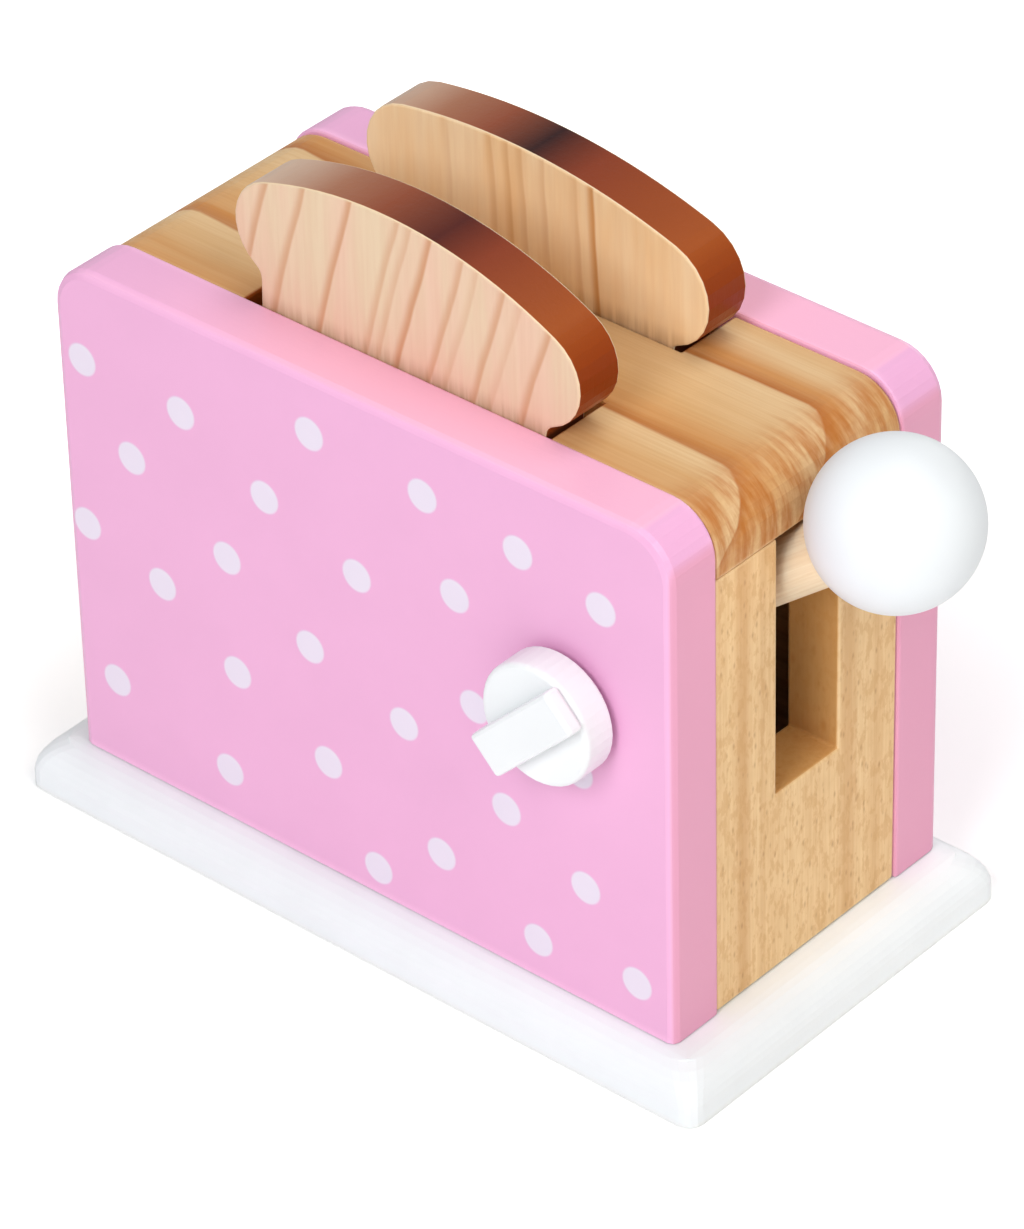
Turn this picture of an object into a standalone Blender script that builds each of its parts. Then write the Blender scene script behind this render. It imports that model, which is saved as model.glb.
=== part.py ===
"""Wooden toy toaster with two slices of toast, a seesaw lever and a turning knob.

Run it with blender --background --python part.py, or from the text editor.
X runs along the body with the lever end at +X, Y runs from the knob side at -Y
to the back, and Z is up, with the underside of the base board at zero.
"""

import math

import bmesh
import bpy
from mathutils import Vector

MM = 0.001

# Clearances shared by every piece
GLUE_GAP = 0.3 * MM
RUNNING_GAP = 0.5 * MM
CUT_OVERRUN = 3 * MM
MERGE_DISTANCE = 0.003 * MM

# Body of the toaster: side boards, end boards and the cap between them
BODY_LENGTH = 160.6 * MM
BODY_DEPTH = 84 * MM
SIDE_HEIGHT = 119.7 * MM
SIDE_THICKNESS = 13.6 * MM
SIDE_CORNER_RADIUS = 10.5 * MM
SIDE_ARRIS = 1.8 * MM
END_THICKNESS = 13 * MM
END_INSET = 0.4 * MM
CAP_TOP_INSET = 0.8 * MM
CAP_END_INSET = 0.1 * MM
CAP_THICKNESS = 14.7 * MM
BOARD_ARRIS = 0.6 * MM

# Base board with a quarter round along its top edge
BASE_THICKNESS = 11.5 * MM
BASE_END_OVERHANG = 10.5 * MM
BASE_SIDE_OVERHANG = 7.4 * MM
BASE_ROUND = 8 * MM
BASE_CORNER_RADIUS = 3.5 * MM

# Slots for the toast, and the slot in the end board for the lever
TOAST_SLOT_FROM_LEVER_END = 41.6 * MM
TOAST_SLOT_FROM_PLAIN_END = 39.7 * MM
CENTRE_STRIP_WIDTH = 23 * MM
LEVER_SLOT_WIDTH = 19.4 * MM
LEVER_SLOT_FLOOR = 54.8 * MM

# Lever: a dowel on a pivot pin, with a ball outside and a cross bar inside
PIVOT_HEIGHT = 78 * MM
PIVOT_FROM_END = 36 * MM
PIVOT_PIN_DIAMETER = 6 * MM
PIVOT_PIN_SEAT = 6 * MM
LEVER_DIAMETER = 14 * MM
LEVER_CHAMFER = 1 * MM
BALL_DIAMETER = 35 * MM
BALL_REACH = 72.3 * MM
BALL_SOCKET_DEPTH = 15 * MM
BAR_REACH = 58.3 * MM
BAR_DIAMETER = 10 * MM
BAR_END_GAP = 1.4 * MM
BAR_SADDLE_DEPTH = 2 * MM
LEVER_TAIL = 9 * MM

# Lift board that lies loose on the cross bar and carries both slices
LIFT_THICKNESS = 13 * MM
LIFT_LEAN = math.radians(4.5)
LIFT_PIVOT_CLEARANCE = 3 * MM
LIFT_NOTCH_WIDTH = 20 * MM
LIFT_NOTCH_SETBACK = 6.5 * MM

# Slices of toast, cut by hand, so that their crowns differ a little
TOAST_SIDE_PLAY = 5.1 * MM
TOAST_END_PLAY = 5.5 * MM
TOAST_FOOT_TAPER = 3 * MM
TOAST_FOOT_RADIUS = 6 * MM
TOAST_LEVER_END_OVERHANG = 7.8 * MM
TOAST_PLAIN_END_OVERHANG = 7.3 * MM
TOAST_ARRIS = 0.5 * MM
FRONT_TOAST_HEIGHT = 97 * MM
FRONT_TOAST_DOME_DROP = 18.1 * MM
FRONT_TOAST_LOBE_RADIUS = 11.3 * MM
FRONT_TOAST_NECK_RADIUS = 3 * MM
FRONT_TOAST_END_GAP = 0.8 * MM
BACK_TOAST_HEIGHT = 93.2 * MM
BACK_TOAST_DOME_DROP = 16.1 * MM
BACK_TOAST_LOBE_RADIUS = 12.1 * MM
BACK_TOAST_NECK_RADIUS = 1 * MM
BACK_TOAST_END_GAP = 2 * MM

# Knob on the front board
KNOB_FROM_END = 26.5 * MM
KNOB_HEIGHT = 83 * MM
KNOB_DIAMETER = 27 * MM
KNOB_THICKNESS = 8.2 * MM
KNOB_EDGE_RADIUS = 1.3 * MM
KNOB_GRIP_LENGTH = 27.4 * MM
KNOB_GRIP_WIDTH = 9.7 * MM
KNOB_GRIP_HEIGHT = 3.8 * MM
KNOB_GRIP_ARRIS = 0.8 * MM
KNOB_GRIP_ANGLE = math.radians(44.5)

# Fasteners: wood dowels, screws and washers
DOWEL_DIAMETER = 6 * MM
DOWEL_CHAMFER = 0.8 * MM
SIDE_DOWEL_SEAT = 8 * MM
END_DOWEL_SEAT = 12 * MM
CAP_DOWEL_SEAT = 9 * MM
SIDE_DOWEL_HEIGHT_SHARES = (0.2, 0.8)
CAP_DOWEL_FROM_SIDE = 9.5 * MM
BASE_SCREW_DIAMETER = 4 * MM
BASE_SCREW_LENGTH = 31 * MM
BASE_SCREW_HEAD = 8 * MM
BASE_SCREW_FROM_END = 22 * MM
BAR_SCREW_DIAMETER = 3 * MM
BAR_SCREW_HEAD = 6 * MM
BAR_SCREW_BITE = 6 * MM
KNOB_SCREW_DIAMETER = 4 * MM
KNOB_SCREW_BITE = 5 * MM
KNOB_SCREW_HEAD = 8 * MM
KNOB_SCREW_HEAD_HEIGHT = 2.6 * MM
WASHER_DIAMETER = 12 * MM
WASHER_THICKNESS = 0.8 * MM

# Turns that lay a piece drawn about Z along another axis
QUARTER_TURN = math.pi / 2
HALF_TURN = math.pi
ALONG_Y = (QUARTER_TURN, 0, 0)
ALONG_X = (0, QUARTER_TURN, 0)

# Edges that are softened or shaded sharp, by the angle between their faces
ARRIS_ANGLE = math.radians(40)
BASE_CORNER_ANGLE = math.radians(30)
SHARP_ANGLE = math.radians(35)

# Fineness of round shapes, in steps per turn or per corner
BALL_STEPS = 40
TURNED_STEPS = 24
SCREW_STEPS = 16
CORNER_STEPS = 8
ARRIS_STEPS = 2
LOBE_STEPS = 10

# Places and sizes that follow from the driving sizes
SIDE_BOTTOM = BASE_THICKNESS + GLUE_GAP
BODY_TOP = SIDE_BOTTOM + SIDE_HEIGHT
CAP_BOTTOM = BODY_TOP - CAP_TOP_INSET - CAP_THICKNESS
INNER_DEPTH = BODY_DEPTH - 2 * SIDE_THICKNESS
BOARD_DEPTH = INNER_DEPTH - 2 * GLUE_GAP
TOAST_SLOT_LENGTH = BODY_LENGTH - TOAST_SLOT_FROM_LEVER_END - TOAST_SLOT_FROM_PLAIN_END
TOAST_SLOT_X = (TOAST_SLOT_FROM_PLAIN_END - TOAST_SLOT_FROM_LEVER_END) / 2
TOAST_THICKNESS = (INNER_DEPTH - CENTRE_STRIP_WIDTH) / 2 - TOAST_SIDE_PLAY
TOAST_NECK_WIDTH = TOAST_SLOT_LENGTH - TOAST_END_PLAY
SIDE_Y = (BODY_DEPTH - SIDE_THICKNESS) / 2
END_X = BODY_LENGTH / 2 - END_INSET - END_THICKNESS / 2
END_HEIGHT = CAP_BOTTOM - GLUE_GAP - SIDE_BOTTOM
PIVOT_X = BODY_LENGTH / 2 - PIVOT_FROM_END
KNOB_X = BODY_LENGTH / 2 - KNOB_FROM_END
LEVER_RADIUS = LEVER_DIAMETER / 2
BAR_OFFSET = LEVER_RADIUS + BAR_DIAMETER / 2 - BAR_SADDLE_DEPTH + GLUE_GAP
BAR_LENGTH = INNER_DEPTH - 2 * BAR_END_GAP


def rest_tilt():
    """Tilt at which the top of the lever meets the underside of the cap at the end face."""
    rise = CAP_BOTTOM - GLUE_GAP - PIVOT_HEIGHT
    reach = PIVOT_FROM_END
    return math.acos(LEVER_RADIUS / math.hypot(rise, reach)) - math.atan2(reach, rise)


LEVER_TILT = rest_tilt()


def clear_scene():
    for old in list(bpy.data.objects):
        bpy.data.objects.remove(old, do_unlink=True)


def new_collection(name):
    made = bpy.data.collections.new(name)
    bpy.context.scene.collection.children.link(made)
    return made


clear_scene()
PARTS = new_collection("toy_toaster")
CUTTERS = new_collection("cutters")
GUIDES = new_collection("guides")


def finish(name, colour, roughness, metallic=0.0):
    made = bpy.data.materials.new(name)
    made.use_nodes = True
    shader = made.node_tree.nodes["Principled BSDF"]
    shader.inputs["Base Color"].default_value = (*colour, 1.0)
    shader.inputs["Roughness"].default_value = roughness
    shader.inputs["Metallic"].default_value = metallic
    return made


PINK = finish("pink_paint", (0.88, 0.45, 0.68), 0.35)
WHITE = finish("white_paint", (0.90, 0.90, 0.91), 0.35)
BALL_WHITE = finish("ball_white_paint", (0.90, 0.90, 0.91), 0.25)
BEECH = finish("beech_board", (0.65, 0.44, 0.24), 0.55)
PINE = finish("pine_cap", (0.68, 0.45, 0.22), 0.50)
DOWEL_WOOD = finish("beech_dowel", (0.74, 0.56, 0.37), 0.55)
INNER_WOOD = finish("inner_pine", (0.62, 0.43, 0.24), 0.60)
TOAST = finish("toast_pine", (0.78, 0.58, 0.37), 0.55)
STEEL = finish("zinc_steel", (0.62, 0.62, 0.60), 0.35, 1.0)


def new_object(name, mesh, material, collection=PARTS):
    made = bpy.data.objects.new(name, mesh)
    collection.objects.link(made)
    if material:
        mesh.materials.append(material)
    return made


def place(piece, location=(0, 0, 0), rotation=(0, 0, 0), parent=None):
    piece.location = location
    piece.rotation_euler = rotation
    piece.parent = parent
    return piece


def empty(name, location, rotation=(0, 0, 0), parent=None):
    made = bpy.data.objects.new(name, None)
    GUIDES.objects.link(made)
    made.empty_display_size = LEVER_DIAMETER
    return place(made, location, rotation, parent)


def box_mesh(size):
    """A box centred on its origin, as an open bmesh."""
    shape = bmesh.new()
    bmesh.ops.create_cube(shape, size=1.0)
    bmesh.ops.scale(shape, vec=Vector(size), verts=shape.verts)
    return shape


def edges_where(shape, test):
    return [edge for edge in shape.edges if test(edge.verts[0].co, edge.verts[1].co)]


def round_edges(shape, edges, radius, steps):
    bmesh.ops.bevel(shape, geom=edges, offset=radius, segments=steps, profile=0.5, affect="EDGES")


def to_object(shape, name, material, collection=PARTS):
    mesh = bpy.data.meshes.new(name)
    bmesh.ops.recalc_face_normals(shape, faces=shape.faces)
    shape.to_mesh(mesh)
    shape.free()
    return new_object(name, mesh, material, collection)


def hide_cutter(cutter):
    cutter.hide_render = True
    cutter.display_type = "WIRE"
    return cutter


def box_cutter(name, size, location, parent=None):
    made = to_object(box_mesh(size), name, None, CUTTERS)
    return hide_cutter(place(made, location, parent=parent))


def cut(piece, cutter):
    step = piece.modifiers.new("cut_" + cutter.name, "BOOLEAN")
    step.operation = "DIFFERENCE"
    step.solver = "EXACT"
    step.object = cutter


def soften(piece, width):
    step = piece.modifiers.new("arris", "BEVEL")
    step.width = width
    step.segments = ARRIS_STEPS
    step.limit_method = "ANGLE"
    step.angle_limit = ARRIS_ANGLE
    step.harden_normals = False


def turned(name, profile, material, steps=TURNED_STEPS, closed=False, collection=PARTS):
    """Turn a profile of (radius, height) points, given top to bottom, about local Z."""
    mesh = bpy.data.meshes.new(name)
    count = len(profile)
    edges = [(i, i + 1) for i in range(count - 1)]
    if closed:
        edges.append((count - 1, 0))
    mesh.from_pydata([(radius, 0, height) for radius, height in profile], edges, [])
    made = new_object(name, mesh, material, collection)
    spin = made.modifiers.new("turn", "SCREW")
    spin.angle = math.tau
    spin.steps = steps
    spin.render_steps = steps
    spin.screw_offset = 0
    spin.use_merge_vertices = True
    spin.merge_threshold = MERGE_DISTANCE
    spin.use_smooth_shade = True
    return made


def dowel_profile(diameter, length, chamfer):
    radius = diameter / 2
    half = length / 2
    return [(0, half), (radius - chamfer, half), (radius, half - chamfer),
            (radius, chamfer - half), (radius - chamfer, -half), (0, -half)]


def round_cutter(name, diameter, length, location, rotation=(0, 0, 0), parent=None):
    radius = diameter / 2
    half = length / 2
    profile = [(0, half), (radius, half), (radius, -half), (0, -half)]
    made = turned(name, profile, None, collection=CUTTERS)
    return hide_cutter(place(made, location, rotation, parent))


def arc(centre, radius, start, end, steps):
    """Points of an arc from one angle to another, both ends included."""
    angles = [start + (end - start) * i / steps for i in range(steps + 1)]
    return [(centre[0] + radius * math.cos(a), centre[1] + radius * math.sin(a)) for a in angles]


def outline_board(name, points, thickness, arris, material, location, rotation, parent=None):
    """A flat board cut to an outline, with softened arrises, made as a filled curve."""
    curve = bpy.data.curves.new(name + "_outline", "CURVE")
    curve.dimensions = "2D"
    curve.fill_mode = "BOTH"
    curve.extrude = thickness / 2 - arris
    curve.bevel_depth = arris
    curve.bevel_resolution = 1
    curve.offset = -arris
    spline = curve.splines.new("POLY")
    spline.points.add(len(points) - 1)
    for point, (x, y) in zip(spline.points, points):
        point.co = (x, y, 0, 1)
    spline.use_cyclic_u = True
    drawn = bpy.data.objects.new(name + "_outline", curve)
    PARTS.objects.link(drawn)
    place(drawn, location, rotation, parent)
    bpy.context.view_layer.update()
    shape = bmesh.new()
    evaluated = drawn.evaluated_get(bpy.context.evaluated_depsgraph_get())
    shape.from_mesh(bpy.data.meshes.new_from_object(evaluated))
    bmesh.ops.remove_doubles(shape, verts=shape.verts, dist=MERGE_DISTANCE)
    made = to_object(shape, name, material)
    made.parent = parent
    made.matrix_world = drawn.matrix_world
    bpy.data.objects.remove(drawn, do_unlink=True)
    return made


# Boards of the body

def base_board():
    """A board whose top edges are rounded over and meet in softened mitres at the corners."""
    length = BODY_LENGTH + 2 * BASE_END_OVERHANG
    depth = BODY_DEPTH + 2 * BASE_SIDE_OVERHANG
    shape = box_mesh((length, depth, BASE_THICKNESS))
    top = edges_where(shape, lambda a, b: a.z > 0 and b.z > 0)
    round_edges(shape, top, BASE_ROUND, CORNER_STEPS)
    corners = edges_where(shape, along_corner)
    sharp = [edge for edge in corners if edge.calc_face_angle() > BASE_CORNER_ANGLE]
    round_edges(shape, sharp, BASE_CORNER_RADIUS, CORNER_STEPS // 2)
    board = to_object(shape, "base_board", WHITE)
    return place(board, (0, 0, BASE_THICKNESS / 2))


def along_corner(a, b):
    """True for an upright edge and for a mitre, which runs inwards both ways at once."""
    across = abs(a.x - b.x) > MERGE_DISTANCE
    back = abs(a.y - b.y) > MERGE_DISTANCE
    return across == back


def side_board(name, facing):
    """A painted side with rounded top corners; facing is -1 at the front and 1 at the back.

    Its outer face has a wide arris and its inner face a small one, both round the
    two ends and the top. The foot stays square, because it stands on the base.
    """
    size = (BODY_LENGTH, SIDE_THICKNESS, SIDE_HEIGHT)
    shape = box_mesh(size)
    corners = edges_where(shape, lambda a, b: a.z > 0 and b.z > 0 and a.x == b.x)
    round_edges(shape, corners, SIDE_CORNER_RADIUS, CORNER_STEPS)
    foot = MERGE_DISTANCE - SIDE_HEIGHT / 2
    for side, width in ((facing, SIDE_ARRIS), (-facing, BOARD_ARRIS)):
        face = side * SIDE_THICKNESS / 2
        rim = edges_where(shape, lambda a, b: max(a.z, b.z) > foot and on_face(a, b, face))
        round_edges(shape, rim, width, ARRIS_STEPS)
    board = to_object(shape, name, PINK)
    place(board, (0, facing * SIDE_Y, SIDE_BOTTOM + SIDE_HEIGHT / 2))
    return board


def on_face(a, b, face):
    """True for an edge whose two ends lie in the plane at that Y."""
    return max(abs(a.y - face), abs(b.y - face)) < MERGE_DISTANCE


def cap_board():
    """The cap between the sides, with one notch along each long edge for the toast."""
    size = (BODY_LENGTH - 2 * CAP_END_INSET, BOARD_DEPTH, CAP_THICKNESS)
    shape = box_mesh(size)
    ends = edges_where(shape, lambda a, b: a.z > 0 and b.z > 0 and a.x == b.x)
    round_edges(shape, ends, SIDE_CORNER_RADIUS, CORNER_STEPS)
    board = to_object(shape, "cap_board", PINE)
    place(board, (0, 0, CAP_BOTTOM + CAP_THICKNESS / 2))
    notch_depth = BOARD_DEPTH / 2 - CENTRE_STRIP_WIDTH / 2 + CUT_OVERRUN
    for facing, side in ((-1, "front"), (1, "back")):
        size = (TOAST_SLOT_LENGTH, notch_depth, CAP_THICKNESS + 2 * CUT_OVERRUN)
        y = facing * (CENTRE_STRIP_WIDTH + notch_depth) / 2
        spot = (TOAST_SLOT_X, y, CAP_BOTTOM + CAP_THICKNESS / 2)
        cut(board, box_cutter(side + "_toast_slot", size, spot))
    soften(board, BOARD_ARRIS)
    return board


def end_board(name, facing):
    size = (END_THICKNESS, BOARD_DEPTH, END_HEIGHT)
    board = to_object(box_mesh(size), name, BEECH)
    place(board, (facing * END_X, 0, SIDE_BOTTOM + END_HEIGHT / 2))
    return board


def lever_slot(board):
    """Open the end board from its top edge down to the floor of the lever's slot."""
    top = CAP_BOTTOM + CUT_OVERRUN
    size = (END_THICKNESS + 2 * CUT_OVERRUN, LEVER_SLOT_WIDTH, top - LEVER_SLOT_FLOOR)
    cut(board, box_cutter("lever_slot", size, (END_X, 0, (top + LEVER_SLOT_FLOOR) / 2)))


# Dowels and screws that hold the boards together

def side_dowels(sides, ends):
    """Two dowels across each joint between a side board and an end board."""
    length = SIDE_DOWEL_SEAT + END_DOWEL_SEAT - GLUE_GAP
    hole = DOWEL_DIAMETER + 2 * GLUE_GAP
    for y_facing, side in sides.items():
        for x_facing, end in ends.items():
            for level, share in enumerate(SIDE_DOWEL_HEIGHT_SHARES):
                z = SIDE_BOTTOM + share * END_HEIGHT
                joint = y_facing * INNER_DEPTH / 2
                y = joint + y_facing * (SIDE_DOWEL_SEAT - END_DOWEL_SEAT) / 2
                spot = (x_facing * END_X, y, z)
                label = f"{side.name}_{end.name}_dowel_{level + 1}"
                profile = dowel_profile(DOWEL_DIAMETER, length, DOWEL_CHAMFER)
                place(turned(label, profile, DOWEL_WOOD), spot, ALONG_Y)
                cutter = round_cutter(label + "_hole", hole, length + 2 * GLUE_GAP, spot, ALONG_Y)
                cut(side, cutter)
                cut(end, cutter)


def cap_dowels(cap, ends):
    """Two upright dowels between the cap and each end board."""
    length = CAP_DOWEL_SEAT + END_DOWEL_SEAT - GLUE_GAP
    hole = DOWEL_DIAMETER + 2 * GLUE_GAP
    for x_facing, end in ends.items():
        for y_facing, side in ((-1, "front"), (1, "back")):
            y = y_facing * (INNER_DEPTH / 2 - CAP_DOWEL_FROM_SIDE)
            spot = (x_facing * END_X, y, CAP_BOTTOM + (CAP_DOWEL_SEAT - END_DOWEL_SEAT) / 2)
            label = f"cap_{end.name}_dowel_{side}"
            profile = dowel_profile(DOWEL_DIAMETER, length, DOWEL_CHAMFER)
            place(turned(label, profile, DOWEL_WOOD), spot)
            cutter = round_cutter(label + "_hole", hole, length + 2 * GLUE_GAP, spot)
            cut(cap, cutter)
            cut(end, cutter)


def countersunk_profile(diameter, head, length, grow=0.0):
    """A countersunk wood screw standing point up, or its hole when grown by a gap."""
    radius = diameter / 2 + grow
    head_radius = head / 2 + grow
    cone = head_radius - radius
    point = diameter
    return [(0, length + grow), (radius, length - point + grow), (radius, cone),
            (head_radius, 0), (0, 0)]


def base_screws(base, sides):
    """Four screws from below through the base board into the side boards."""
    recess = GLUE_GAP
    for y_facing, side in sides.items():
        for x_facing, end in ((-1, "left"), (1, "right")):
            x = x_facing * (BODY_LENGTH / 2 - BASE_SCREW_FROM_END)
            label = f"base_screw_{side.name.split('_')[0]}_{end}"
            profile = countersunk_profile(BASE_SCREW_DIAMETER, BASE_SCREW_HEAD, BASE_SCREW_LENGTH)
            screw = turned(label, profile, STEEL, SCREW_STEPS)
            place(screw, (x, y_facing * SIDE_Y, recess))
            hole_profile = countersunk_profile(
                BASE_SCREW_DIAMETER, BASE_SCREW_HEAD, BASE_SCREW_LENGTH + recess, GLUE_GAP)
            hole_profile[-2:] = [(hole_profile[-2][0], 0), (hole_profile[-2][0], -CUT_OVERRUN),
                                 (0, -CUT_OVERRUN)]
            hole = turned(label + "_hole", hole_profile, None, SCREW_STEPS, collection=CUTTERS)
            hide_cutter(place(hole, (x, y_facing * SIDE_Y, 0)))
            cut(base, hole)
            cut(side, hole)


# Lever with its pivot pin, ball and cross bar

def pivot_pin(sides):
    length = INNER_DEPTH + 2 * (PIVOT_PIN_SEAT - GLUE_GAP)
    profile = dowel_profile(PIVOT_PIN_DIAMETER, length, DOWEL_CHAMFER)
    spot = (PIVOT_X, 0, PIVOT_HEIGHT)
    place(turned("pivot_pin", profile, STEEL), spot, ALONG_Y)
    bore = PIVOT_PIN_DIAMETER + 2 * GLUE_GAP
    seat = round_cutter("pivot_seats", bore, INNER_DEPTH + 2 * PIVOT_PIN_SEAT, spot, ALONG_Y)
    for side in sides.values():
        cut(side, seat)


def lever_frame():
    """An empty on the pivot whose X axis points out along the lever."""
    return empty("lever_pivot", (PIVOT_X, 0, PIVOT_HEIGHT), (0, -LEVER_TILT, 0))


def lever_rod(frame):
    inner = -(BAR_REACH + LEVER_TAIL)
    outer = BALL_REACH - BALL_DIAMETER / 2 + BALL_SOCKET_DEPTH - GLUE_GAP
    profile = dowel_profile(LEVER_DIAMETER, outer - inner, LEVER_CHAMFER)
    rod = turned("lever_rod", profile, DOWEL_WOOD)
    place(rod, ((inner + outer) / 2, 0, 0), ALONG_X, frame)
    bore = PIVOT_PIN_DIAMETER + 2 * GLUE_GAP
    across = LEVER_DIAMETER + 2 * CUT_OVERRUN
    cut(rod, round_cutter("lever_pivot_bore", bore, across, (0, 0, 0), ALONG_Y, frame))
    saddle = BAR_DIAMETER + 2 * GLUE_GAP
    seat = (-BAR_REACH, 0, BAR_OFFSET)
    cut(rod, round_cutter("lever_bar_saddle", saddle, across, seat, ALONG_Y, frame))
    return rod


def lever_ball(frame):
    """A ball with a blind socket for the rod, turned about the rod's axis."""
    radius = BALL_DIAMETER / 2
    socket = LEVER_RADIUS + GLUE_GAP
    mouth = math.asin(socket / radius)
    profile = arc((0, 0), radius, QUARTER_TURN, mouth - QUARTER_TURN, BALL_STEPS // 2)
    profile[0] = (0, radius)
    floor = BALL_SOCKET_DEPTH - radius
    profile += [(socket, floor), (0, floor)]
    ball = turned("lever_ball", profile, BALL_WHITE, BALL_STEPS)
    return place(ball, (BALL_REACH, 0, 0), ALONG_X, frame)


def lift_bar(frame):
    """The cross bar in its saddle on top of the rod, held by one screw from below."""
    profile = dowel_profile(BAR_DIAMETER, BAR_LENGTH, DOWEL_CHAMFER)
    bar = place(turned("lift_bar", profile, DOWEL_WOOD), (-BAR_REACH, 0, BAR_OFFSET), ALONG_Y, frame)
    head_level = -LEVER_RADIUS + BAR_SCREW_DIAMETER / 2
    length = BAR_OFFSET - BAR_DIAMETER / 2 + BAR_SCREW_BITE - head_level
    profile = countersunk_profile(BAR_SCREW_DIAMETER, BAR_SCREW_HEAD, length)
    screw = turned("lift_bar_screw", profile, STEEL, SCREW_STEPS)
    place(screw, (-BAR_REACH, 0, head_level), parent=frame)
    hole_profile = countersunk_profile(BAR_SCREW_DIAMETER, BAR_SCREW_HEAD, length, GLUE_GAP)
    rim = hole_profile[-2][0]
    below = -BAR_SCREW_DIAMETER - CUT_OVERRUN
    hole_profile[-1:] = [(rim, below), (0, below)]
    hole = turned("lift_bar_screw_hole", hole_profile, None, SCREW_STEPS, collection=CUTTERS)
    hide_cutter(place(hole, (-BAR_REACH, 0, head_level), parent=frame))
    return bar, hole


# Lift board and the two slices

def bar_centre():
    """Centre of the cross bar at rest, in the plane of the lever."""
    x = PIVOT_X - BAR_REACH * math.cos(LEVER_TILT) - BAR_OFFSET * math.sin(LEVER_TILT)
    z = PIVOT_HEIGHT - BAR_REACH * math.sin(LEVER_TILT) + BAR_OFFSET * math.cos(LEVER_TILT)
    return x, z


def lift_frame():
    """An empty where the board lies on the bar, leaning with the board."""
    x, z = bar_centre()
    stand_off = BAR_DIAMETER / 2 + GLUE_GAP
    contact = (x + stand_off * math.sin(LIFT_LEAN), 0, z + stand_off * math.cos(LIFT_LEAN))
    return empty("lift_board_lean", contact, (0, LIFT_LEAN, 0))


def lift_board(frame):
    """A loose board that fills the inside up to the pivot pin, notched round the lever."""
    wall = -(END_X - END_THICKNESS / 2)
    left = (wall + RUNNING_GAP - frame.location.x) / math.cos(LIFT_LEAN)
    limit = PIVOT_X - PIVOT_PIN_DIAMETER / 2 - LIFT_PIVOT_CLEARANCE
    lean_shift = LIFT_THICKNESS * math.sin(LIFT_LEAN)
    right = (limit - lean_shift - frame.location.x) / math.cos(LIFT_LEAN)
    size = (right - left, INNER_DEPTH - 2 * RUNNING_GAP, LIFT_THICKNESS)
    board = to_object(box_mesh(size), "lift_board", INNER_WOOD)
    place(board, ((left + right) / 2, 0, LIFT_THICKNESS / 2), parent=frame)
    length = right - LIFT_NOTCH_SETBACK + CUT_OVERRUN
    notch = (length, LIFT_NOTCH_WIDTH, LIFT_THICKNESS + 2 * CUT_OVERRUN)
    spot = (LIFT_NOTCH_SETBACK + length / 2, 0, LIFT_THICKNESS / 2)
    cut(board, box_cutter("lift_board_notch", notch, spot, frame))
    soften(board, BOARD_ARRIS)
    return board


def toast_half(height, drop, lobe, neck_radius, overhang):
    """Right half of a slice from its foot to its crown.

    The crown is one wide arc that runs into a lobe, and the lobe runs through
    a small hollow at the neck into the side, which narrows to the foot.
    """
    side = TOAST_NECK_WIDTH / 2
    lobe_x = side + overhang - lobe
    lobe_y = height - drop
    crown = (lobe_x ** 2 + drop ** 2 - lobe ** 2) / (2 * (drop - lobe))
    crown_y = height - crown
    crown_end = math.atan2(lobe_y - crown_y, lobe_x)
    neck_x = side + neck_radius
    reach = lobe + neck_radius
    neck_y = lobe_y - math.sqrt(reach ** 2 - (neck_x - lobe_x) ** 2)
    turn = math.atan2(neck_y - lobe_y, neck_x - lobe_x)
    foot = (side - TOAST_FOOT_TAPER - TOAST_FOOT_RADIUS, TOAST_FOOT_RADIUS)
    half = arc(foot, TOAST_FOOT_RADIUS, -QUARTER_TURN, 0, CORNER_STEPS // 2)
    half += arc((neck_x, neck_y), neck_radius, HALF_TURN, HALF_TURN + turn, CORNER_STEPS // 2)
    half += arc((lobe_x, lobe_y), lobe, turn, crown_end, LOBE_STEPS)
    return half + arc((0, crown_y), crown, crown_end, QUARTER_TURN, LOBE_STEPS)[1:]


def toast_outline(height, drop, lobe, neck_radius):
    """Both halves of a slice, with the lobe at the lever's end a little wider."""
    right = toast_half(height, drop, lobe, neck_radius, TOAST_LEVER_END_OVERHANG)
    left = toast_half(height, drop, lobe, neck_radius, TOAST_PLAIN_END_OVERHANG)
    return right + [(-x, y) for x, y in reversed(left[:-1])]


def toast_foot(frame, end_gap):
    """Middle of a slice's foot along the lift board, so that its side meets the slot's end."""
    x = TOAST_SLOT_X + TOAST_SLOT_LENGTH / 2 - end_gap - frame.location.x
    z = BODY_TOP - frame.location.z
    return x * math.cos(LIFT_LEAN) - z * math.sin(LIFT_LEAN) - TOAST_NECK_WIDTH / 2


def toast(name, outline, end_gap, frame, y):
    spot = (toast_foot(frame, end_gap), y, LIFT_THICKNESS + GLUE_GAP)
    return outline_board(name, outline, TOAST_THICKNESS, TOAST_ARRIS, TOAST, spot, ALONG_Y, frame)


# Knob with its spacer, screw and inside washer

def knob_frame():
    spot = (KNOB_X, -BODY_DEPTH / 2, KNOB_HEIGHT)
    return empty("knob_axis", spot)


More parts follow.
